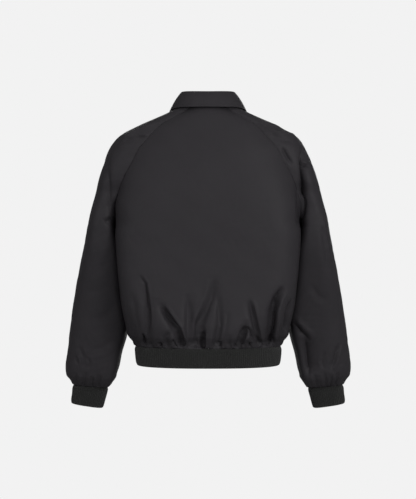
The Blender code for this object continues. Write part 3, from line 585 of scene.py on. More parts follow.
def crease_depth(creases, x, z):
    """How far the creases draw the cloth in, at each place of a flat view."""
    drawn = np.zeros_like(x)
    for crease in creases:
        path = np.array(crease.path, float)
        steps = np.diff(path, axis=0)
        lengths = np.linalg.norm(steps, axis=1)
        starts = np.concatenate([[0], np.cumsum(lengths)])
        nearest = np.full(x.shape, np.inf)
        signed = np.zeros(x.shape)
        share = np.zeros(x.shape)
        for (ax, az), (dx, dz), length, start in zip(path, steps, lengths, starts):
            t = np.clip(((x - ax) * dx + (z - az) * dz) / length**2, 0, 1)
            off_x = x - ax - t * dx
            off_z = z - az - t * dz
            distance = np.hypot(off_x, off_z)
            closer = distance < nearest
            nearest = np.where(closer, distance, nearest)
            signed = np.where(closer, np.sign(off_x * dz - off_z * dx), signed)
            share = np.where(closer, (start + t * length) / starts[-1], share)
        reach = crease.half_width * (1 + LEAN_SHARE * crease.lean * signed)
        fade = end_fade(share)
        if not crease.held:
            fade = fade * end_fade(1 - share)
        power = DEEP_POWER if abs(crease.depth) > crease.half_width else SHALLOW_POWER
        drawn += crease.depth * fade * np.exp(-((nearest / reach) ** power))
        if crease.ridge:
            beside = nearest * signed * math.copysign(1, crease.ridge) / crease.half_width
            ridge = abs(crease.ridge) * np.exp(-(((beside - RIDGE_PLACE) / RIDGE_WIDTH) ** 2))
            drawn -= crease.depth * fade * ridge
    return drawn


WELD_DISTANCE = 2e-6


def weld(obj, sharp_angle=55):
    """Joins points that coincide, turns the faces outward and shades the mesh smooth between sharp edges."""
    shape = bmesh.new()
    shape.from_mesh(obj.data)
    bmesh.ops.remove_doubles(shape, verts=shape.verts, dist=WELD_DISTANCE)
    bmesh.ops.recalc_face_normals(shape, faces=shape.faces)
    shape.to_mesh(obj.data)
    shape.free()
    obj.data.shade_smooth()
    obj.data.set_sharp_from_angle(angle=math.radians(sharp_angle))


def placed(name, data, location=(0.0, 0.0, 0.0)):
    """A new object in the scene."""
    obj = bpy.data.objects.new(name, data)
    obj.location = location
    bpy.context.scene.collection.objects.link(obj)
    return obj


def new_object(name, points, faces, uv, materials, face_materials=None):
    """A mesh object from points in millimetres, with one UV, in millimetres too, for each point."""
    mesh = bpy.data.meshes.new(name)
    mesh.from_pydata((np.asarray(points) * MM).tolist(), [], [list(map(int, face)) for face in faces])
    layer = mesh.uv_layers.new(name="flat_cloth")
    corners = np.empty(len(mesh.loops), np.int64)
    mesh.loops.foreach_get("vertex_index", corners)
    layer.data.foreach_set("uv", (np.asarray(uv)[corners] * MM).ravel())
    for material in materials:
        mesh.materials.append(material)
    if face_materials is not None:
        mesh.polygons.foreach_set("material_index", np.asarray(face_materials, np.int32))
    return placed(name, mesh)


def quads(grid):
    """Faces between the neighbours of a grid of point numbers."""
    corners = [grid[:-1, :-1], grid[1:, :-1], grid[1:, 1:], grid[:-1, 1:]]
    return np.stack(corners, axis=-1).reshape(-1, 4).tolist()


def loft(first, rings, sides):
    """Faces round a stack of closed rings of points, numbered from first on, with a cap on both ends."""
    faces = []
    for ring in range(first, first + (rings - 1) * sides, sides):
        for k in range(sides):
            a, b = ring + k, ring + (k + 1) % sides
            faces.append((a, b, b + sides, a + sides))
    last = first + (rings - 1) * sides
    return faces + [tuple(range(first, first + sides))[::-1], tuple(range(last, last + sides))]


def greatest_near(values, reach, closed=None):
    """The greatest value within so many points either way, which keeps a coarser grid beyond the finer."""
    for axis in (0, 1):
        spread = [(0, 0), (0, 0)]
        spread[axis] = (reach, reach)
        padded = np.pad(values, spread, mode="edge")
        count = values.shape[axis]
        values = np.max([np.take(padded, range(i, i + count), axis) for i in range(2 * reach + 1)], axis=0)
    if closed is not None:
        ends = np.maximum(values[:, 0], values[:, -1])
        values[closed, 0] = ends[closed]
        values[closed, -1] = ends[closed]
    return values


def cloth_wall(name, base, normals, inward, wall, materials, closed=None, step=3):
    """A cloth wall: an outer side with its creases, and a smooth inner side with every step-th point.

    closed marks the rows that meet themselves at their ends. The outer side has the first material and the
    inner side the last.
    """
    rows, columns = base.shape[:2]
    outer = base - inward[..., None] * normals
    behind = wall + greatest_near(inward, step, closed)
    inner = (base - behind[..., None] * normals)[::step, ::step]
    index = np.arange(rows * columns).reshape(rows, columns)
    inside = np.arange(inner.shape[0] * inner.shape[1]).reshape(inner.shape[:2]) + rows * columns
    outer_faces = quads(index)
    inner_faces = quads(inside[:, ::-1])
    side_rows = rows if closed is None else int((~closed).sum()) + 1
    edges = [(index[0], inside[0]), (index[-1], inside[-1])]
    for end in (0, -1):
        edges.append((index[:side_rows, end], inside[: (side_rows - 1) // step + 1, end]))
    rims = []
    for fine, coarse in edges:
        for j in range(len(coarse) - 1):
            rims.append([*fine[step * j : step * j + step + 1], coarse[j + 1], coarse[j]])
    uv = np.stack(arc_lengths(outer), axis=-1)
    uv = np.concatenate([uv.reshape(-1, 2), uv[::step, ::step].reshape(-1, 2)])
    points = np.concatenate([outer.reshape(-1, 3), inner.reshape(-1, 3)])
    kinds = [0] * len(outer_faces) + [len(materials) - 1] * len(inner_faces) + [0] * len(rims)
    obj = new_object(name, points, outer_faces + inner_faces + rims, uv, materials, kinds)
    weld(obj)
    return obj


def mirror_copy(obj, name):
    """The same mesh on the other side of the jacket."""
    mesh = obj.data.copy()
    mesh.name = name
    flat = np.empty(3 * len(mesh.vertices), np.float32)
    mesh.vertices.foreach_get("co", flat)
    flat[::3] *= -1
    mesh.vertices.foreach_set("co", flat)
    mesh.flip_normals()
    return placed(name, mesh)


def mirrored(form, name):
    """The form's mirror image, in place of the form itself."""
    image = mirror_copy(form, name)
    bpy.data.objects.remove(form)
    return image


def dress(obj, node):
    """Makes a piece ride on the jacket in the place of its CAD node, and hides that node.

    flat, the width and length of what shows laid flat in millimetres, and the area in square metres, are not
    used.
    """
    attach(obj, BODY_NAME)
    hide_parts(node)


def row_heights(stops, counts):
    """Heights of rows, evenly spaced from each stop to the next."""
    spans = zip(stops, stops[1:], counts)
    return np.concatenate([np.linspace(*span, endpoint=False) for span in spans] + [stops[-1:]])


def undulation(points, strength, seed):
    """Long shallow waves, as loosely filled cloth has between its seams."""
    x, y, z = (points[..., k] for k in range(3))
    return strength * (
        0.6 * np.sin(x / 31 + z / 57 + seed) * np.sin(z / 43 - y / 50 + 2 * seed)
        + 0.4 * np.sin(x / 17 - z / 29 + 3 * seed) * np.sin(z / 23 + y / 31 + seed)
        + 0.5 * np.sin(x / 60 - z / 75 + 1.3 * seed)
    )


def rumples(points, strength, seed):
    """Small soft dents at odd angles, as light nylon takes after it has been worn."""
    x, y, z = (points[..., k] for k in range(3))
    slanted = np.sin((0.8 * x + 0.6 * z) / 5.2 + 1.7 * np.sin(z / 19 + seed))
    steep = np.sin((0.9 * z - 0.35 * x + 0.4 * y) / 4.1 + 1.3 * np.sin(x / 14 + 2 * seed))
    across = np.sin((y + 0.5 * z) / 6.3 + 3 * seed + np.sin(x / 11))
    long = np.sin(z / 7.7 - y / 9 + 2 * np.sin(y / 23 + seed))
    patches = 0.55 + 0.45 * np.sin(x / 37 + seed) * np.sin(z / 53 + y / 41 + 2 * seed)
    return strength * patches * (0.6 * slanted * steep + 0.4 * across * long)


UNDERARM_ROWS = 9  # about how many rows either way are blended
UNDERARM_SIDES = (3.0, 25.0)  # from a side edge, where the blending begins and where it is whole
UNDERARM_PASSES = 40


def underarm_eased(base):
    """Blends the rows near the underarm, so that no line crosses the panel where its side seam begins."""
    sideways = edge_distance(base, len(base))[0]
    middle_row = int(np.argmin(np.abs(base[:, base.shape[1] // 2, 2] - UNDERARM_Z)))
    near = np.exp(-(((np.arange(len(base)) - middle_row) / UNDERARM_ROWS) ** 2))
    weight = 0.5 * (near[:, None] * eased(sideways, *UNDERARM_SIDES))[1:-1, :, None]
    for _ in range(UNDERARM_PASSES):
        base[1:-1] += weight * ((base[:-2] + base[2:]) / 2 - base[1:-1])


def beside_arm(height):
    """1 where a hanging sleeve lies against the body, easing to 0 at the underarm and above the hem."""
    return eased(height, *ARM_ENDS) * eased(-height, *ARM_BEGINS)


# How one piece is sewn: its puckers at the band as (share, wave, reach), the share of its seam grooves, where
# it lies flat against its neighbour, how far it tucks in at the band, and the share and the upper fade of its
# rumples.
Sewing = namedtuple("Sewing", "puckers groove flattened tuck rumple rumple_fade")


def sewn(base, normals, creased, ways, sewing, settings, seed):
    """How far in the cloth lies: its creases, the puckers and grooves of its seams, and its rumples."""
    sideways, from_top, from_band = ways
    inward = creased * settings.crease_strength * eased(sideways, 0.0, SEAM_FADE)
    for share, shape, reach in sewing.puckers:
        inward += settings.pucker_depth * share * shape * np.exp(-from_band / reach)
    down_side = wave(base[..., 2], SIDE_PUCKER_PITCH, seed + 4) * np.exp(-sideways / SIDE_PUCKER_REACH)
    inward += settings.pucker_depth * SIDE_PUCKER * down_side
    off_seam = 1 - np.exp(-sideways / WAVE_FADE)
    inward += undulation(base, settings.undulation, seed) * off_seam * (1 - np.exp(-from_top / TOP_FADE))
    off_seam = off_seam * (1 - np.exp(-from_top / sewing.rumple_fade))
    inward += rumples(base, sewing.rumple * settings.rumple, seed) * off_seam
    depth = sewing.groove * settings.seam_groove * (1 - normals[..., 0] ** 2)
    inward += depth * np.exp(-((sideways / GROOVE_WIDTH) ** 2))
    inward *= 1 - sewing.flattened
    inward *= BAND_SHARE + (1 - BAND_SHARE) * eased(from_band, 0.0, BAND_EASE)
    return inward + sewing.tuck * np.exp(-((from_band / TUCK_REACH) ** 2))


# Rows of the grids from each height to the next, and points across them.
BODY_ROWS = (78, 90, 51)
SLEEVE_ROWS = (105, 111, 48)
BACK_COLUMNS = 361
FRONT_COLUMNS = 151
SLEEVE_COLUMNS = 241
PANEL_SAMPLES = 500
SLEEVE_SAMPLES = 200
# How far a normal points sideways, where a part of a piece begins and where it is whole.
PANEL_SIDE = (0.72, 0.96)
SLEEVE_OUTSIDE = (0.55, 0.9)
SLEEVE_INSIDE = (0.3, 0.7)
REAR_EASE = 25.0


def build_panel(name, side, creases, settings, materials, seed, right_groove=1.0):
    """One body panel: its form, its creases, and the puckers at its seams."""
    share = crowded(PANEL_SAMPLES)
    if side == "back":
        share = np.concatenate([share[::-1], -share[1:]])
    columns = BACK_COLUMNS if side == "back" else FRONT_COLUMNS
    heights = row_heights((NECK_ROW_Z, UNDERARM_Z, HEM_GATHER_Z, HEM_SEAM_Z), BODY_ROWS)
    base = even_rows(body_surface(side, heights[:, None], share), columns, [SEAM_GAP] * len(heights))
    underarm_eased(base)
    normals = grid_normals(base)
    if (normals[..., 1].mean() < 0) == (side == "back"):
        normals = -normals
    x, height = base[..., 0], base[..., 2]
    across, _ = arc_lengths(base)
    sewing = Sewing(
        puckers=((1.0, wave(across, 13.0, seed), 16.0), (0.5, wave(across, 6.5, seed + 2), 7.0)),
        groove=np.where(x > 0, 1.0, right_groove),
        flattened=eased(np.abs(normals[..., 0]), *PANEL_SIDE) * beside_arm(height),
        tuck=2.3,
        rumple=0.25 if side == "back" else 0.6,
        rumple_fade=TOP_FADE,
    )
    ways = edge_distance(base, len(base))
    inward = sewn(base, normals, crease_depth(creases, x, height), ways, sewing, settings, seed)
    return cloth_wall(name, base, normals, inward, settings.cloth_wall, materials)


def build_sleeve(name, rear_creases, settings, materials, seed, rear_groove=1.0):
    """One sleeve as on the left side: open between the raglan seams, a closed tube below the underarm."""
    z = row_heights((NECK_ROW_Z, UNDERARM_Z, CUFF_GATHER_Z, CUFF_SEAM_Z), SLEEVE_ROWS)
    closed = z <= UNDERARM_Z + 1e-6
    quarters = crowded(SLEEVE_SAMPLES)
    halves = np.concatenate([quarters / 2, 0.5 + quarters[1:] / 2])
    around = np.concatenate([halves[::-1], -halves[1:]])
    base = even_rows(sleeve_surface(z[:, None], around), SLEEVE_COLUMNS, np.where(closed, 0.0, SEAM_GAP))
    share = np.linspace(1, -1, SLEEVE_COLUMNS)
    normals = facing_out(base, grid_normals(base, closed))
    x, y, height = np.moveaxis(base, -1, 0)
    rearward = y - smooth_value(SLEEVE, "middle_y", z)[:, None]
    against = eased(-normals[..., 0], *SLEEVE_INSIDE)
    creased = eased(rearward, 0.0, REAR_EASE) * crease_depth(rear_creases, x, height)
    creased += eased(-rearward, 0.0, REAR_EASE) * crease_depth(SLEEVE_FRONT, x, height)
    creased += eased(normals[..., 0], *SLEEVE_OUTSIDE) * crease_depth(SLEEVE_OUTER, y, height)
    creased += against * crease_depth(SLEEVE_INNER, y, height)
    sewing = Sewing(
        puckers=(
            (1.1, ring_wave(share, (17, 27, 11), seed), 20.0),
            (0.5, ring_wave(share, (38, 51, 29), seed), 8.0),
        ),
        groove=np.where(share > 0, rear_groove, 1.0),
        flattened=against * beside_arm(height),
        tuck=2.0,
        rumple=0.6,
        rumple_fade=25.0,
    )
    ways = edge_distance(base, int((~closed).sum()))
    inward = sewn(base, normals, creased, ways, sewing, settings, seed)
    return cloth_wall(name, base, normals, inward, settings.cloth_wall, materials, closed)


def smoothed_rows(rows, count, passes):
    """More rows between the given ones, evenly spaced, with their corners eased and their ends kept."""
    stacked = np.array(rows)
    lines = np.stack([resampled(stacked[:, j], count) for j in range(stacked.shape[1])], axis=1)
    for _ in range(passes):
        lines[1:-1] = 0.25 * lines[:-2] + 0.5 * lines[1:-1] + 0.25 * lines[2:]
    return lines


COLLAR_COLUMNS = 220
STAND_LIFT = 2.9
STAND_DROP = 2.2
COLLAR_ROLL = 5.5
COLLAR_ROLL_RISE = 0.8
COLLAR_BOW = 2.5
COLLAR_WALL = 1.9
COLLAR_SEED = 5.0
STITCH_INSET = 6.0  # from the collar's edge to its stitching
STITCH_DRAW = 0.35  # how far the stitching draws the cloth in
STITCH_DRAW_WIDTH = 1.2
COLLAR_WAVES = 0.25  # of the height that the body's waves have
COLLAR_PUCKER = 0.25
COLLAR_PUCKER_PITCH = 11.0
COLLAR_PUCKER_INSET = 4.0
COLLAR_PUCKER_REACH = 6.0
END_STITCH_COLUMNS = (2, -3)  # of the grid of the fall, near its front ends
END_STITCH_TOP_ROW = 10


def collar_surfaces():
    """The stand, from the neck seam up to the roll line, and the fall, over it and down to its edge."""
    neck = neck_line(COLLAR_COLUMNS)
    roll = collar_line("roll", COLLAR_COLUMNS)
    edge = collar_line("edge", COLLAR_COLUMNS)
    up = np.array([0.0, 0.0, 1.0])
    low = neck + STAND_LIFT * unit(roll - neck)
    high = roll - STAND_DROP * up
    stand = smoothed_rows([low, (low + high) / 2, high], count=14, passes=1)
    outward = unit((edge - roll) * (1.0, 1.0, 0.0))
    fall = [
        roll + COLLAR_ROLL_RISE * up,
        roll + COLLAR_ROLL / 2 * outward + (COLLAR_ROLL_RISE + 1.2) * up,
        roll + COLLAR_ROLL * outward,
    ]
    for share in np.linspace(0.1, 1.0, 10):
        bow = COLLAR_BOW * math.sin(math.pi * share)
        fall.append(fall[2] * (1 - share) + edge * share + bow * outward + bow * 0.5 * up)
    return stand, smoothed_rows(fall, count=34, passes=2)


STITCH_SIDES = 6
# Along one stitch: the share of its length, how far it stands off the cloth, and its thickness there.
STITCH_RINGS = ((0.0, -0.3, 0.4), (0.18, 0.05, 0.9), (0.5, 0.22, 1.0), (0.82, 0.05, 0.9), (1.0, -0.3, 0.4))


def stitched_line(path, normals, length=2.3, pitch=3.1, radius=0.24):
    """Machine stitches along a path on the cloth: a short round thread for each, sunk in at its ends."""
    lengths = run_lengths(path)
    shares, lifts, widths = zip(*STITCH_RINGS)
    points = []
    faces = []
    for start in np.arange(0.5, lengths[-1] - length, pitch):
        places = start + length * np.array(shares)
        line = read_along(path, lengths, places)
        along = unit(line[-1] - line[0])
        faces += loft(len(points), len(STITCH_RINGS), STITCH_SIDES)
        for centre, normal, lift, width in zip(line, read_along(normals, lengths, places), lifts, widths):
            sideways = np.cross(along, normal)
            for k in range(STITCH_SIDES):
                angle = 2 * math.pi * k / STITCH_SIDES
                spoke = math.cos(angle) * sideways + math.sin(angle) * normal
                points.append(centre + lift * normal + radius * width * spoke)
    return points, faces


def stitching(name, lines, material):
    """One object for the stitches along several paths."""
    points = []
    faces = []
    for path, normals in lines:
        more, more_faces = stitched_line(path, normals)
        faces += [tuple(i + len(points) for i in face) for face in more_faces]
        points += more
    obj = new_object(name, points, faces, np.zeros((len(points), 2)), [material])
    weld(obj)
    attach(obj, BODY_NAME)


STRIPS_PER_RIB = 8
RIB_SLACK = 0.5
SLACK_WAVES = 7  # round one band
SLACK_DEPTH = 20  # below its upper edge, where the slack is whole


def rib_band(name, levels, pitch, place, closed, material, seed):
    """A doubled knit band: ribs on its outer side, a round fold at its lower edge and a plain inner side."""
    top, low = levels[0].z, levels[-1].z
    outer_z = np.linspace(top, low + 2.2, 16)
    # Each ring has its height, how far in it lies, and the share of the ribs' rise that it has.
    profile = [(top + 1.0, 2.4, 0.0), (top, 2.2, 0.2), (outer_z[1], 1.1, 0.6), (outer_z[2], 0.3, 0.9)]
    profile += [(z, 0.0, 1.0) for z in outer_z[3:]]
    profile += [(low + 0.9, 0.25, 0.8), (low + 0.1, 1.0, 0.45), (low, 1.6, 0.2), (low + 0.7, 2.6, 0.0)]
    profile += [(z, BAND_WALL, 0.0) for z in np.linspace(low + 2.4, top - 3.0, 5)]
    profile += [(top + 0.2, SEAM_LEDGE, 0.0), (top + 1.0, SEAM_LEDGE, 0.0)]
    ribs = int(round(run_lengths(place(top))[-1] / pitch))
    columns = ribs * STRIPS_PER_RIB
    turns = np.arange(columns + 1) / STRIPS_PER_RIB
    ridge = np.abs(np.sin(math.pi * turns)) ** 0.8
    rows = []
    for z, offset, weight in profile:
        ring = resampled(place(z), columns + 1)
        along = np.gradient(ring, axis=0)
        if closed:
            along[0] = along[-1] = ring[1] - ring[-2]
        outward = unit(np.cross(along, (0, 0, 1.0)))
        if np.sum(outward * (ring - ring.mean(axis=0))) < 0:
            outward = -outward
        slack = RIB_SLACK * np.sin(2 * math.pi * turns / ribs * SLACK_WAVES + seed)
        slack *= eased(np.array(top - z), 0, SLACK_DEPTH)
        push = RIB_RISE * weight * ridge - offset + slack * weight
        rows.append(ring + outward * push[:, None])
    grid = np.array(rows)
    index = np.arange(grid.shape[0] * grid.shape[1]).reshape(grid.shape[:2])
    faces = quads(np.concatenate([index, index[:1]]))
    if not closed:
        faces += [index[:, 0], index[::-1, -1]]
    uv = np.stack(arc_lengths(grid), axis=-1).reshape(-1, 2)
    obj = new_object(name, grid.reshape(-1, 3), faces, uv, [material])
    weld(obj, sharp_angle=70)
    return obj


def oval(half_width, half_depth, roundness, count):
    """A level ring from the centre front round the left, the back and the right."""
    angle = -math.pi / 2 + 2 * math.pi * np.arange(count + 1) / count
    x = half_width * signed_power(np.cos(angle), 2 / roundness)
    y = half_depth * signed_power(np.sin(angle), 2 / roundness)
    return np.stack([x, y, np.zeros_like(x)], axis=-1)


def band_ring(levels, roundness, count, z):
    """The face of a band at one height."""
    level = BandLevel(z, *(smooth_value(levels, field, z) for field in BandLevel._fields[1:]))
    ring = oval(level.half_width, level.half_depth, roundness, count)
    ring[:, 2] = z + level.tilt * ring[:, 0]
    return ring + (level.centre_x, level.centre_y, 0.0)


def hem_ring(z):
    ring = band_ring(HEM_LEVELS, HEM_ROUNDNESS, 720, z)
    start = int(np.argmax(ring[:, 0] > ZIP_OPENING))
    return ring[start : len(ring) - start]


def cuff_ring(z):
    return band_ring(CUFF_LEVELS, SLEEVE_ROUNDNESS, 360, z)


ZIP_TOP_Z = -63.0
METAL_BEVEL = 0.25
CHAIN_TOP_Z = -69.0
TAPE_THICK = 0.65
TAPE_EDGE = 1.6
TAPE_WIDTH = 13.0
TAPE_CLEAR = 1.2
TAPE_STEP = 4.0  # from row to row of its grid
TAPE_COLUMNS = 14
CORD_RISE = 0.25
CORD_INSET = 0.8
CORD_WIDTH = 0.7
CAD_WALL = 2.0
CAD_GAP = 0.3
UPPER_ZIP = (9.0, -4.0, -20.0, -38.0, -54.0, -72.0, -98.0, -132.0, -170.0, -204.0, -232.0, -258.0, -285.0)
LOWER_ZIP = (-340.0, -400.0, -450.0, -490.0, -520.0, -542.0, -558.0)


def zip_line(top_z):
    """The face of the zip tapes on the centre line, from the neck to the hem, as (y, z) points."""
    z = np.array(UPPER_ZIP + LOWER_ZIP)
    profile = np.stack([smooth_value(BODY, "front_y", z), front_height(z, FRONT_NECK_Z)], axis=1)
    along = unit(np.gradient(profile, axis=0))
    inward = np.stack([-along[:, 1], along[:, 0]], axis=1)
    ends = (HEM_LEVELS[0], HEM_LEVELS[-1])
    behind_hem = [(-level.half_depth + BAND_WALL + 2 * CAD_GAP, level.z) for level in ends]
    line = np.concatenate([profile + (CAD_WALL + TAPE_CLEAR) * inward, behind_hem])
    top = (np.interp(-top_z, -line[:, 1], line[:, 0]), top_z)
    return np.concatenate([[top], line[line[:, 1] < top_z - 2.0]])


def zip_places(top_z, spacing):
    """Evenly spaced points down the zip, with unit vectors out of the front and up along the zip."""
    line = zip_line(top_z)
    flat = np.concatenate([np.zeros((len(line), 1)), line], axis=1)
    points = resampled(flat, int(run_lengths(flat)[-1] / spacing) + 1)
    up = -unit(np.gradient(points, axis=0))
    return points, np.cross((1.0, 0.0, 0.0), up), up


def tape_object(name, material):
    """The left tape: a thin woven strip with a corded edge under the teeth."""
    points, out, _ = zip_places(ZIP_TOP_Z, TAPE_STEP)
    across = np.linspace(TAPE_EDGE, TAPE_WIDTH, TAPE_COLUMNS)
    swell = CORD_RISE * np.exp(-(((across - TAPE_EDGE - CORD_INSET) / CORD_WIDTH) ** 2)) - CORD_RISE
    grid = points[:, None] + out[:, None] * swell[None, :, None]
    grid[..., 0] += across
    normals = np.broadcast_to(out[:, None], grid.shape)
    return cloth_wall(name, grid, normals, np.zeros(grid.shape[:2]), TAPE_THICK, [material], step=1)


# One side of a tooth seen from the front, as (across, along): clamped to its cord, with a narrower head.
TOOTH_SIDE = ((2.9, 1.0), (1.4, 1.0), (0.5, 0.72), (-0.5, 0.78), (-1.0, 0.4))
# Each ring of a tooth: its height over the tape, and its size.
TOOTH_RINGS = ((0.35, 0.94), (0.55, 1.0), (1.9, 1.0), (2.35, 0.78))
TOOTH_SHARE = 0.31  # half of a tooth's width, as a share of the pitch


def teeth_object(name, pitch, material):
    """Two rows of teeth that mesh on the centre line."""
    places, out, up = zip_places(CHAIN_TOP_Z, pitch / 2)
    half = TOOTH_SHARE * pitch
    outline = [(across, -along * half) for across, along in TOOTH_SIDE]
    outline += [(across, along * half) for across, along in reversed(TOOTH_SIDE)]
    middle = np.mean(outline, axis=0)[0]
    points = []
    faces = []
    for i in range(1, len(places) - 1):
        side = 1 if i % 2 else -1
        faces += loft(len(points), len(TOOTH_RINGS), len(outline))
        for height, scale in TOOTH_RINGS:
            for across, along in outline:
                sideways = (side * (middle + (across - middle) * scale), 0.0, 0.0)
                points.append(places[i] + sideways + along * scale * up[i] + height * out[i])
    obj = new_object(name, points, faces, np.zeros((len(points), 2)), [material])
    weld(obj, sharp_angle=40)
    return obj


def feed(tree, slot, value):
    """Gives an input of a node a plain number, or links it to an output."""
    if isinstance(value, (int, float)):
        slot.default_value = value
    else:
        tree.links.new(value, slot)


def math_node(tree, operation, *values):
    """A Math node fed by sockets or plain numbers. Returns its output."""
    node = tree.nodes.new("ShaderNodeMath")
    node.operation = operation
    for slot, value in zip(node.inputs, values):
        feed(tree, slot, value)
    return node.outputs[0]


def map_range(tree, value, low, high, new_low, new_high):
    node = tree.nodes.new("ShaderNodeMapRange")
    for name, number in (("From Min", low), ("From Max", high), ("To Min", new_low), ("To Max", new_high)):
        node.inputs[name].default_value = number
    tree.links.new(value, node.inputs["Value"])
    return node.outputs["Result"]


def noise(tree, place, scale, detail, roughness=0.5):
    """The value of a noise texture at a place."""
    node = tree.nodes.new("ShaderNodeTexNoise")
    for name, value in (("Vector", place), ("Scale", scale), ("Detail", detail), ("Roughness", roughness)):
        feed(tree, node.inputs[name], value)
    return node.outputs["Fac"]


def flat_place(tree):
    """The place on the flat cloth in metres, whole and as its two parts."""
    flat = tree.nodes.new("ShaderNodeUVMap")
    flat.uv_map = "flat_cloth"
    apart = tree.nodes.new("ShaderNodeSeparateXYZ")
    tree.links.new(flat.outputs["UV"], apart.inputs[0])
    return flat.outputs["UV"], apart.outputs


def new_group(name, inputs, outputs):
    """An empty shader node group of plain values. Returns it, what it is given and what it puts out."""
    group = bpy.data.node_groups.new(name, "ShaderNodeTree")
    for label, default in inputs.items():
        made = group.interface.new_socket(name=label, in_out="INPUT", socket_type="NodeSocketFloat")
        made.default_value = default
    for label in outputs:
        group.interface.new_socket(name=label, in_out="OUTPUT", socket_type="NodeSocketFloat")
    return group, group.nodes.new("NodeGroupInput").outputs, group.nodes.new("NodeGroupOutput").inputs


def weave_group():
    """A plain weave along the flat cloth: the height of its threads, and a faint unevenness of its yarns."""
    group, given, out = new_group("plain_weave", {"Thread Pitch mm": 0.45}, ("Height", "Yarn"))
    flat, parts = flat_place(group)
    metres = math_node(group, "MULTIPLY", given["Thread Pitch mm"], 0.001)
    threads = [math_node(group, "DIVIDE", parts[k], metres) for k in (0, 1)]
    turns = [math_node(group, "SINE", math_node(group, "MULTIPLY", t, math.pi)) for t in threads]
    over = math_node(group, "MULTIPLY", *turns)
    group.links.new(math_node(group, "MULTIPLY_ADD", over, 0.5), out["Height"])
    stretch = group.nodes.new("ShaderNodeMapping")
    stretch.inputs["Scale"].default_value = (14.0, 0.6, 1.0)
    group.links.new(flat, stretch.inputs["Vector"])
    yarns = noise(group, stretch.outputs["Vector"], scale=60.0, detail=4.0)
    group.links.new(yarns, out["Yarn"])
    return group


def rumple_group():
    """Fine unevenness of a soft cloth that has been worn and packed, read from its place on the jacket."""
    group, given, out = new_group("cloth_rumple", {"Size mm": 40.0, "Detail": 3.0}, ("Height", "Tone"))
    place = group.nodes.new("ShaderNodeTexCoord").outputs["Object"]
    scale = math_node(group, "DIVIDE", 1000.0, given["Size mm"])
    group.links.new(noise(group, place, scale, given["Detail"], roughness=0.45), out["Height"])
    group.links.new(noise(group, place, scale=7.0, detail=2.0), out["Tone"])
    return group


def knit_group():
    """Rib knit: small V-shaped loops down each rib."""
    sizes = {"Loop Width mm": 1.4, "Loop Height mm": 1.1}
    group, given, out = new_group("knit_loops", sizes, ("Height", "Tone"))
    flat, parts = flat_place(group)
    metres = [math_node(group, "MULTIPLY", given[label], 0.001) for label in sizes]
    across, down = (math_node(group, "DIVIDE", parts[k], metres[k]) for k in (0, 1))
    leg = math_node(group, "PINGPONG", across, 0.5)
    slanted = math_node(group, "ADD", down, math_node(group, "MULTIPLY", leg, 1.6))
    loops = math_node(group, "SINE", math_node(group, "MULTIPLY", slanted, 2 * math.pi))
    column_round = math_node(group, "SINE", math_node(group, "MULTIPLY", leg, math.pi))
    height = math_node(group, "ADD", math_node(group, "MULTIPLY", loops, 0.5), column_round)
    group.links.new(height, out["Height"])
    group.links.new(noise(group, flat, scale=900.0, detail=3.0), out["Tone"])
    return group


def placed_group(material, name, build, **values):
    """One of the node groups above in a material, with its own values. Returns its outputs."""
    node = material.node_tree.nodes.new("ShaderNodeGroup")
    node.node_tree = bpy.data.node_groups.get(name) or build()
    for label, value in values.items():
        node.inputs[label.replace("_", " ")].default_value = value
    return node.outputs


def new_material(name, colour, roughness, **shader_values):
    material = bpy.data.materials.new(name)
    material.use_nodes = True
    shader = material.node_tree.nodes["Principled BSDF"]
    shader.inputs["Base Color"].default_value = (*colour, 1.0)
    shader.inputs["Roughness"].default_value = roughness
    for label, value in shader_values.items():
        shader.inputs[label.replace("_", " ")].default_value = value
    return material, shader


def tint(material, factor, colour, low, high):
    """A colour that the factor makes darker or lighter, from low to high times as bright."""
    tree = material.node_tree
    mix = tree.nodes.new("ShaderNodeMix")
    mix.data_type = "RGBA"
    mix.inputs["A"].default_value = (*(low * c for c in colour), 1.0)
    mix.inputs["B"].default_value = (*(high * c for c in colour), 1.0)
    tree.links.new(factor, mix.inputs["Factor"])
    return mix.outputs["Result"]


def bumped(material, height, distance, strength, below=None):
    """A bump whose height is in metres, laid over another one where given."""
    tree = material.node_tree
    bump = tree.nodes.new("ShaderNodeBump")
    bump.inputs["Distance"].default_value = distance
    bump.inputs["Strength"].default_value = strength
    tree.links.new(height, bump.inputs["Height"])
    if below is not None:
        tree.links.new(below, bump.inputs["Normal"])
    return bump.outputs["Normal"]


NOISE_SPREAD = (0.3, 0.7)  # where most values of a noise texture lie
UNEVEN_GLOSS = 0.04  # how much rougher or smoother the nylon is in places
RUBBED_ROUGHNESS = (0.28, 0.42)


def nylon_material(name, settings, shade, rougher):
    """Close-woven nylon: matt to the eye, with a slight sheen where it turns away from the light."""
    colour = [shade * c for c in settings.nylon_colour]
    roughness = settings.nylon_roughness + rougher
    sheen = {"Sheen Weight": settings.nylon_sheen, "Sheen Roughness": 0.45}
    material, shader = new_material(name, colour, roughness, Specular_IOR_Level=settings.nylon_gloss, **sheen)
    tree = material.node_tree
    weave = placed_group(material, "plain_weave", weave_group)
    rumple = placed_group(material, "cloth_rumple", rumple_group)
    halves = [math_node(tree, "MULTIPLY", value, 0.5) for value in (weave["Yarn"], rumple["Tone"])]
    tinted = tint(material, math_node(tree, "ADD", *halves), colour, low=0.86, high=1.14)
    tree.links.new(tinted, shader.inputs["Base Color"])
    least, most = roughness - UNEVEN_GLOSS, roughness + UNEVEN_GLOSS
    uneven = map_range(tree, rumple["Tone"], *NOISE_SPREAD, least, most)
    tree.links.new(uneven, shader.inputs["Roughness"])
    soft = bumped(material, rumple["Height"], distance=0.0016, strength=0.5)
    woven = bumped(material, weave["Height"], distance=0.00012, strength=0.35, below=soft)
    tree.links.new(woven, shader.inputs["Normal"])


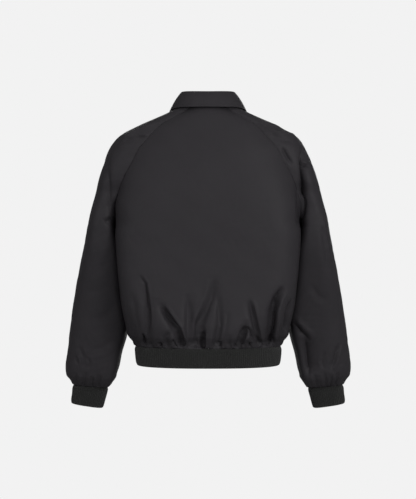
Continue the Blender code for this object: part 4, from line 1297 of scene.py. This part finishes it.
def looped_material(name, colour, roughness, contrast, relief, gloss, **loops):
    """Matt rib knit or close tape, its loops too fine to tell apart from across a room."""
    material, shader = new_material(name, colour, roughness, **gloss)
    knit = placed_group(material, "knit_loops", knit_group, **loops)
    links = material.node_tree.links
    tinted = tint(material, knit["Tone"], colour, 1 - contrast, 1 + contrast)
    links.new(tinted, shader.inputs["Base Color"])
    links.new(bumped(material, knit["Height"], *relief), shader.inputs["Normal"])


def lacquer_material(name, colour):
    """Black lacquered metal, rubbed a little brighter and smoother where hands and teeth touch it."""
    material, shader = new_material(name, colour, 0.34, Metallic=1.0, Coat_Weight=0.2)
    tree = material.node_tree
    rubbed = placed_group(material, "cloth_rumple", rumple_group, Size_mm=3.0)["Height"]
    tree.links.new(tint(material, rubbed, colour, low=0.7, high=1.5), shader.inputs["Base Color"])
    tree.links.new(map_range(tree, rubbed, *NOISE_SPREAD, *RUBBED_ROUGHNESS), shader.inputs["Roughness"])
    tree.links.new(bumped(material, rubbed, distance=0.00005, strength=0.4), shader.inputs["Normal"])


def shared_materials(context):
    """Makes the jacket's materials from the settings the first time. Returns all materials by name."""
    materials = bpy.data.materials
    if materials.get("nylon_inside") is None:
        scene = context.scene
        nylon_material("nylon_shell", scene.jacket_cloth, shade=1.0, rougher=0.0)
        nylon_material("nylon_inside", scene.jacket_cloth, shade=0.85, rougher=0.12)
        matt = {"Specular IOR Level": 0.25, "Sheen Weight": 0.12, "Sheen Roughness": 0.6}
        knit_colour = scene.jacket_knit.knit_colour
        looped_material("rib_knit_loops", knit_colour, 0.88, contrast=0.3, relief=(0.0004, 0.7), gloss=matt)
        smooth = {"Specular IOR Level": 0.3}
        loops = {"Loop Width mm": 2.4, "Loop Height mm": 0.7}
        tape_colour = scene.jacket_zip.tape_colour
        looped_material(
            "zip_tape_weave", tape_colour, 0.8, contrast=0.2, relief=(0.0002, 0.6), gloss=smooth, **loops
        )
        lacquer_material("zip_lacquer", scene.jacket_zip.metal_colour)
    return materials


def share_setting(label, description, default):
    return bpy.props.FloatProperty(
        name=label, description=description, min=0.0, max=1.0, default=default, subtype="FACTOR"
    )


def number_setting(label, description, low, high, default, **more):
    return bpy.props.FloatProperty(
        name=label, description=description, min=low, max=high, default=default, **more
    )


def colour_setting(label, description, default):
    return bpy.props.FloatVectorProperty(
        name=label, description=description, subtype="COLOR", size=3, min=0.0, max=1.0, default=default
    )


class JacketClothSettings(bpy.types.PropertyGroup):
    """Sizes and finish of the nylon."""

    nylon_colour: colour_setting("Nylon Colour", "Colour of the shell cloth", (0.0355, 0.0330, 0.0368))
    nylon_roughness: share_setting("Nylon Roughness", "How matt the shell cloth is", 0.5)
    nylon_gloss: share_setting("Nylon Gloss", "How much light the cloth's face reflects", 0.1)
    nylon_sheen: share_setting("Nylon Sheen", "Soft light on cloth that turns away", 0.0)
    cloth_wall: number_setting(
        "Cloth Wall (mm)", "Thickness of the shell cloth with its light filling", 0.4, 2.0, 1.2
    )
    crease_strength: number_setting(
        "Crease Strength", "Depth of the creases, against the measured ones", 0.0, 2.0, 1.0
    )
    pucker_depth: number_setting(
        "Pucker Depth (mm)", "Depth of the small puckers at the gathered seams", 0.0, 4.0, 1.6
    )
    rumple: number_setting("Rumple (mm)", "Depth of the small soft dents of worn nylon", 0.0, 2.0, 0.7)
    seam_groove: number_setting("Seam Groove (mm)", "How far the cloth dips at its seams", 0.0, 2.0, 0.5)
    undulation: number_setting("Undulation (mm)", "Height of the long shallow waves", 0.0, 4.0, 1.0)


class JacketKnitSettings(bpy.types.PropertyGroup):
    """Sizes and finish of the rib knit."""

    knit_colour: colour_setting("Knit Colour", "Colour of the hem and cuffs", (0.0143, 0.0146, 0.0141))
    rib_pitch: number_setting("Rib Pitch (mm)", "Distance from one rib to the next", 2.0, 12.0, 5.2)


class JacketZipSettings(bpy.types.PropertyGroup):
    """Sizes and finish of the front zip."""

    tape_colour: colour_setting("Tape Colour", "Colour of the zip tapes", (0.012, 0.012, 0.013))
    metal_colour: colour_setting("Metal Colour", "Colour of the teeth, slider and pull", (0.09, 0.09, 0.095))
    tooth_pitch: number_setting(
        "Tooth Pitch (mm)", "Distance from one tooth to the next on the same tape", 1.5, 6.0, 2.6
    )


class JacketStageSettings(bpy.types.PropertyGroup):
    """Light and camera."""

    backdrop: share_setting("Backdrop", "How bright the pale floor and background are", 0.888)
    fill_light: number_setting("Fill Light", "Soft light from behind the camera", 0.0, 2.0, 0.6)
    camera_distance: number_setting(
        "Camera Distance", "From the camera to the middle of the jacket", 1.0, 8.0, 3.0, unit="LENGTH"
    )


class JACKET_OT_body_panels(bpy.types.Operator):
    """Build the back and the two fronts, with their gathers and creases"""

    bl_idname = "jacket.body_panels"
    bl_label = "Body Panels"

    def execute(self, context):
        settings = context.scene.jacket_cloth
        materials = shared_materials(context)
        cloth = [materials["nylon_shell"], materials["nylon_inside"]]
        back = build_panel(
            "back_panel_cloth", "back", BACK_CREASES, settings, cloth, seed=0.7, right_groove=FAINT_GROOVE
        )
        left = build_panel("front_left_cloth", "front", LEFT_FRONT_CREASES, settings, cloth, seed=1.9)
        right = build_panel("front_right_form", "front", RIGHT_FRONT_CREASES, settings, cloth, seed=3.1)
        dress(back, "back_panel")
        dress(left, "front_left")
        dress(mirrored(right, "front_right_cloth"), "front_right")
        return {"FINISHED"}


class JACKET_OT_sleeves(bpy.types.Operator):
    """Build the two raglan sleeves, each with its own creases and cuff gathers"""

    bl_idname = "jacket.sleeves"
    bl_label = "Sleeves"

    def execute(self, context):
        settings = context.scene.jacket_cloth
        materials = shared_materials(context)
        cloth = [materials["nylon_shell"], materials["nylon_inside"]]
        left = build_sleeve("sleeve_left_cloth", LEFT_SLEEVE_REAR, settings, cloth, seed=0.4)
        right = build_sleeve(
            "sleeve_right_form", RIGHT_SLEEVE_REAR, settings, cloth, seed=2.2, rear_groove=FAINT_GROOVE
        )
        dress(left, "sleeve_left")
        dress(mirrored(right, "sleeve_right_cloth"), "sleeve_right")
        return {"FINISHED"}


class JACKET_OT_collar(bpy.types.Operator):
    """Build the collar's stand and fall, with the stitching near its edge"""

    bl_idname = "jacket.collar"
    bl_label = "Collar"

    def execute(self, context):
        nylon = shared_materials(context)["nylon_shell"]
        stand, fall = collar_surfaces()
        self.add_piece(context, "collar_stand", stand, 0.0, (400, 50), 0.0125, nylon)
        outer, normals = self.add_piece(context, "collar_fall", fall, 1.0, (520, 80), 0.034, nylon)
        from_edge = edge_distance(fall, len(fall))[2]
        row = int(np.argmin(np.abs(from_edge[:, from_edge.shape[1] // 2] - STITCH_INSET)))
        lines = [(outer[row], normals[row])]
        rows = slice(END_STITCH_TOP_ROW, row)
        lines += [(outer[rows, column], normals[rows, column]) for column in END_STITCH_COLUMNS]
        stitching("collar_stitching", lines, nylon)
        return {"FINISHED"}

    def add_piece(self, context, node, grid, drawn, flat, area, nylon):
        """One piece of the collar. drawn is how much its stitching draws its lower edge in."""
        normals = facing_out(grid, grid_normals(grid))
        from_edge = edge_distance(grid, len(grid))[2]
        inward = undulation(grid, COLLAR_WAVES * context.scene.jacket_cloth.undulation, COLLAR_SEED)
        inward += drawn * STITCH_DRAW * np.exp(-(((from_edge - STITCH_INSET) / STITCH_DRAW_WIDTH) ** 2))
        near_edge = np.exp(-(((from_edge - COLLAR_PUCKER_INSET) / COLLAR_PUCKER_REACH) ** 2))
        puckers = wave(arc_lengths(grid)[0], COLLAR_PUCKER_PITCH, COLLAR_SEED) * near_edge
        inward += drawn * COLLAR_PUCKER * puckers
        outer = grid - inward[..., None] * normals
        level = np.zeros(grid.shape[:2])
        piece = cloth_wall(node + "_cloth", outer, normals, level, COLLAR_WALL, [nylon], step=1)
        dress(piece, node)
        return outer, normals


class JACKET_OT_bands(bpy.types.Operator):
    """Build the rib-knit hem and cuffs"""

    bl_idname = "jacket.bands"
    bl_label = "Hem and Cuffs"

    def execute(self, context):
        knit = shared_materials(context)["rib_knit_loops"]
        pitch = context.scene.jacket_knit.rib_pitch
        hem = rib_band("hem_knit", HEM_LEVELS, pitch, hem_ring, closed=False, material=knit, seed=0.4)
        dress(hem, "hem_rib")
        left = rib_band("cuff_left_knit", CUFF_LEVELS, pitch, cuff_ring, closed=True, material=knit, seed=1.1)
        dress(left, "cuff_left")
        dress(mirror_copy(left, "cuff_right_knit"), "cuff_right")
        return {"FINISHED"}


class JACKET_OT_zip(bpy.types.Operator):
    """Build the zip's tapes and teeth, and finish its slider and pull"""

    bl_idname = "jacket.zip"
    bl_label = "Front Zip"

    def execute(self, context):
        materials = shared_materials(context)
        lacquer = materials["zip_lacquer"]
        left = tape_object("zip_tape_left_cloth", materials["zip_tape_weave"])
        right = mirror_copy(left, "zip_tape_right_cloth")
        for tape, node in ((left, "zip_tape_left"), (right, "zip_tape_right")):
            dress(tape, node)
        teeth = teeth_object("zip_teeth", context.scene.jacket_zip.tooth_pitch, lacquer)
        dress(teeth, "zip_chain")
        for node in ("zip_slider", "zip_pull"):
            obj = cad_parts[node]
            obj.data.materials.clear()
            obj.data.materials.append(lacquer)
            bevel = obj.modifiers.new("Rounded Edges", "BEVEL")
            bevel.width = METAL_BEVEL * MM
            bevel.segments = 2
            bevel.limit_method = "ANGLE"
        return {"FINISHED"}


# In metres and watts. Each light is aimed at the middle of the jacket at the height of its target.
StudioLight = namedtuple("StudioLight", "name place target_z size power")
LIGHTS = records(
    StudioLight,
    ("Top Light", (-0.3, 1.2, 2.5), -0.3, (1.6, 1.2), 5.0),
    ("Wide Light", (0.0, 3.5, -0.5), -0.35, (3.2, 2.2), 20.0),
    ("Right Light", (-1.9, 2.8, 0.5), -0.35, (0.9, 1.2), 34.0),
    ("Left Light", (2.3, 2.5, 0.1), -0.35, (1.2, 2.0), 9.0),
    ("Front Light", (-0.3, -3.4, 0.3), -0.3, (2.4, 2.0), 24.0),
)
VIEW_HEIGHT = 1.2226
CAMERA_Z = -0.337
SENSOR = 36.0
CAMERA_SHIFT = -0.0001
FARTHEST_SEEN = 60.0
FLOOR_Z = -0.80
FLOOR_RADIUS = 20.0
FLOOR_GREY = (0.45, 0.45, 0.45)
SKY_TURN = (-0.4, 0.5)  # from the front to behind the camera, where the light of the sky is whole
SKY_FRONT = 0.28  # its share at the front


def area_light(lamp):
    """A soft rectangular light that the camera doesn't see."""
    data = bpy.data.lights.new(lamp.name, "AREA")
    data.shape = "RECTANGLE"
    data.size, data.size_y = lamp.size
    data.energy = lamp.power
    light = placed(lamp.name, data, lamp.place)
    light.visible_camera = False
    light.rotation_mode = "QUATERNION"
    away = Vector(lamp.place) - Vector((0.0, 0.0, lamp.target_z))
    light.rotation_quaternion = away.to_track_quat("Z", "Y")


def seen_apart(tree, lit, seen, surface):
    """Shows one shader to the camera, and lets another one light the jacket."""
    path = tree.nodes.new("ShaderNodeLightPath")
    mix = tree.nodes.new("ShaderNodeMixShader")
    tree.links.new(path.outputs["Is Camera Ray"], mix.inputs["Fac"])
    tree.links.new(lit.outputs[0], mix.inputs[1])
    tree.links.new(seen.outputs[0], mix.inputs[2])
    tree.links.new(mix.outputs[0], surface)


class JACKET_OT_stage(bpy.types.Operator):
    """Set the camera, the soft studio light and the pale floor"""

    bl_idname = "jacket.stage"
    bl_label = "Stage"

    def execute(self, context):
        settings = context.scene.jacket_stage
        context.scene.view_settings.view_transform = "Standard"
        data = bpy.data.cameras.new("Camera")
        data.sensor_width = SENSOR
        data.lens = SENSOR * settings.camera_distance / VIEW_HEIGHT
        data.shift_x = CAMERA_SHIFT
        data.clip_end = FARTHEST_SEEN
        camera = placed("Camera", data, (0.0, settings.camera_distance, CAMERA_Z))
        camera.rotation_euler = (math.pi / 2, 0.0, math.pi)
        context.scene.camera = camera
        self.add_world(context.scene, settings)
        self.add_floor(settings)
        for lamp in LIGHTS:
            area_light(lamp)
        return {"FINISHED"}

    def add_world(self, scene, settings):
        """A pale background, with light that is strongest from behind the camera."""
        world = bpy.data.worlds.new("Studio")
        world.use_nodes = True
        scene.world = world
        tree = world.node_tree
        tree.nodes.clear()
        seen = tree.nodes.new("ShaderNodeBackground")
        seen.inputs["Color"].default_value = (*[settings.backdrop] * 3, 1.0)
        lit = tree.nodes.new("ShaderNodeBackground")
        place = tree.nodes.new("ShaderNodeTexCoord")
        apart = tree.nodes.new("ShaderNodeSeparateXYZ")
        tree.links.new(place.outputs["Generated"], apart.inputs[0])
        fill = settings.fill_light
        strength = map_range(tree, apart.outputs["Y"], *SKY_TURN, SKY_FRONT * fill, fill)
        tree.links.new(strength, lit.inputs["Strength"])
        seen_apart(tree, lit, seen, tree.nodes.new("ShaderNodeOutputWorld").inputs["Surface"])

    def add_floor(self, settings):
        """A pale round floor under the jacket, which fades into the background."""
        shape = bmesh.new()
        bmesh.ops.create_circle(shape, cap_ends=True, segments=96, radius=FLOOR_RADIUS)
        mesh = bpy.data.meshes.new("Floor")
        shape.to_mesh(mesh)
        shape.free()
        floor = placed("Floor", mesh, (0.0, 0.0, FLOOR_Z))
        material, shader = new_material("studio_floor", FLOOR_GREY, 1.0, Specular_IOR_Level=0.0)
        tree = material.node_tree
        seen = tree.nodes.new("ShaderNodeEmission")
        seen.inputs["Strength"].default_value = settings.backdrop
        seen_apart(tree, shader, seen, tree.nodes["Material Output"].inputs["Surface"])
        mesh.materials.append(material)


class JACKET_PT_panel(bpy.types.Panel):
    """The jacket's pieces and settings"""

    bl_label = "Bomber Jacket"
    bl_idname = "JACKET_PT_panel"
    bl_space_type = "VIEW_3D"
    bl_region_type = "UI"
    bl_category = "Jacket"

    def draw(self, context):
        layout = self.layout
        for operator in OPERATORS:
            layout.operator(operator.bl_idname)
        for name, group in SETTINGS.items():
            box = layout.box()
            for field in group.__annotations__:
                box.prop(getattr(context.scene, name), field)


SETTINGS = {
    "jacket_cloth": JacketClothSettings,
    "jacket_knit": JacketKnitSettings,
    "jacket_zip": JacketZipSettings,
    "jacket_stage": JacketStageSettings,
}
OPERATORS = (
    JACKET_OT_body_panels,
    JACKET_OT_sleeves,
    JACKET_OT_collar,
    JACKET_OT_bands,
    JACKET_OT_zip,
    JACKET_OT_stage,
)


def register():
    for name, group in SETTINGS.items():
        bpy.utils.register_class(group)
        setattr(bpy.types.Scene, name, bpy.props.PointerProperty(type=group))
    for operator in OPERATORS:
        bpy.utils.register_class(operator)
    bpy.utils.register_class(JACKET_PT_panel)


def unregister():
    bpy.utils.unregister_class(JACKET_PT_panel)
    for operator in reversed(OPERATORS):
        bpy.utils.unregister_class(operator)
    for name, group in reversed(SETTINGS.items()):
        delattr(bpy.types.Scene, name)
        bpy.utils.unregister_class(group)


def main():
    register()
    bpy.ops.jacket.body_panels()
    bpy.ops.jacket.sleeves()
    bpy.ops.jacket.collar()
    bpy.ops.jacket.bands()
    bpy.ops.jacket.zip()
    bpy.ops.jacket.stage()


if __name__ == "__main__":
    main()
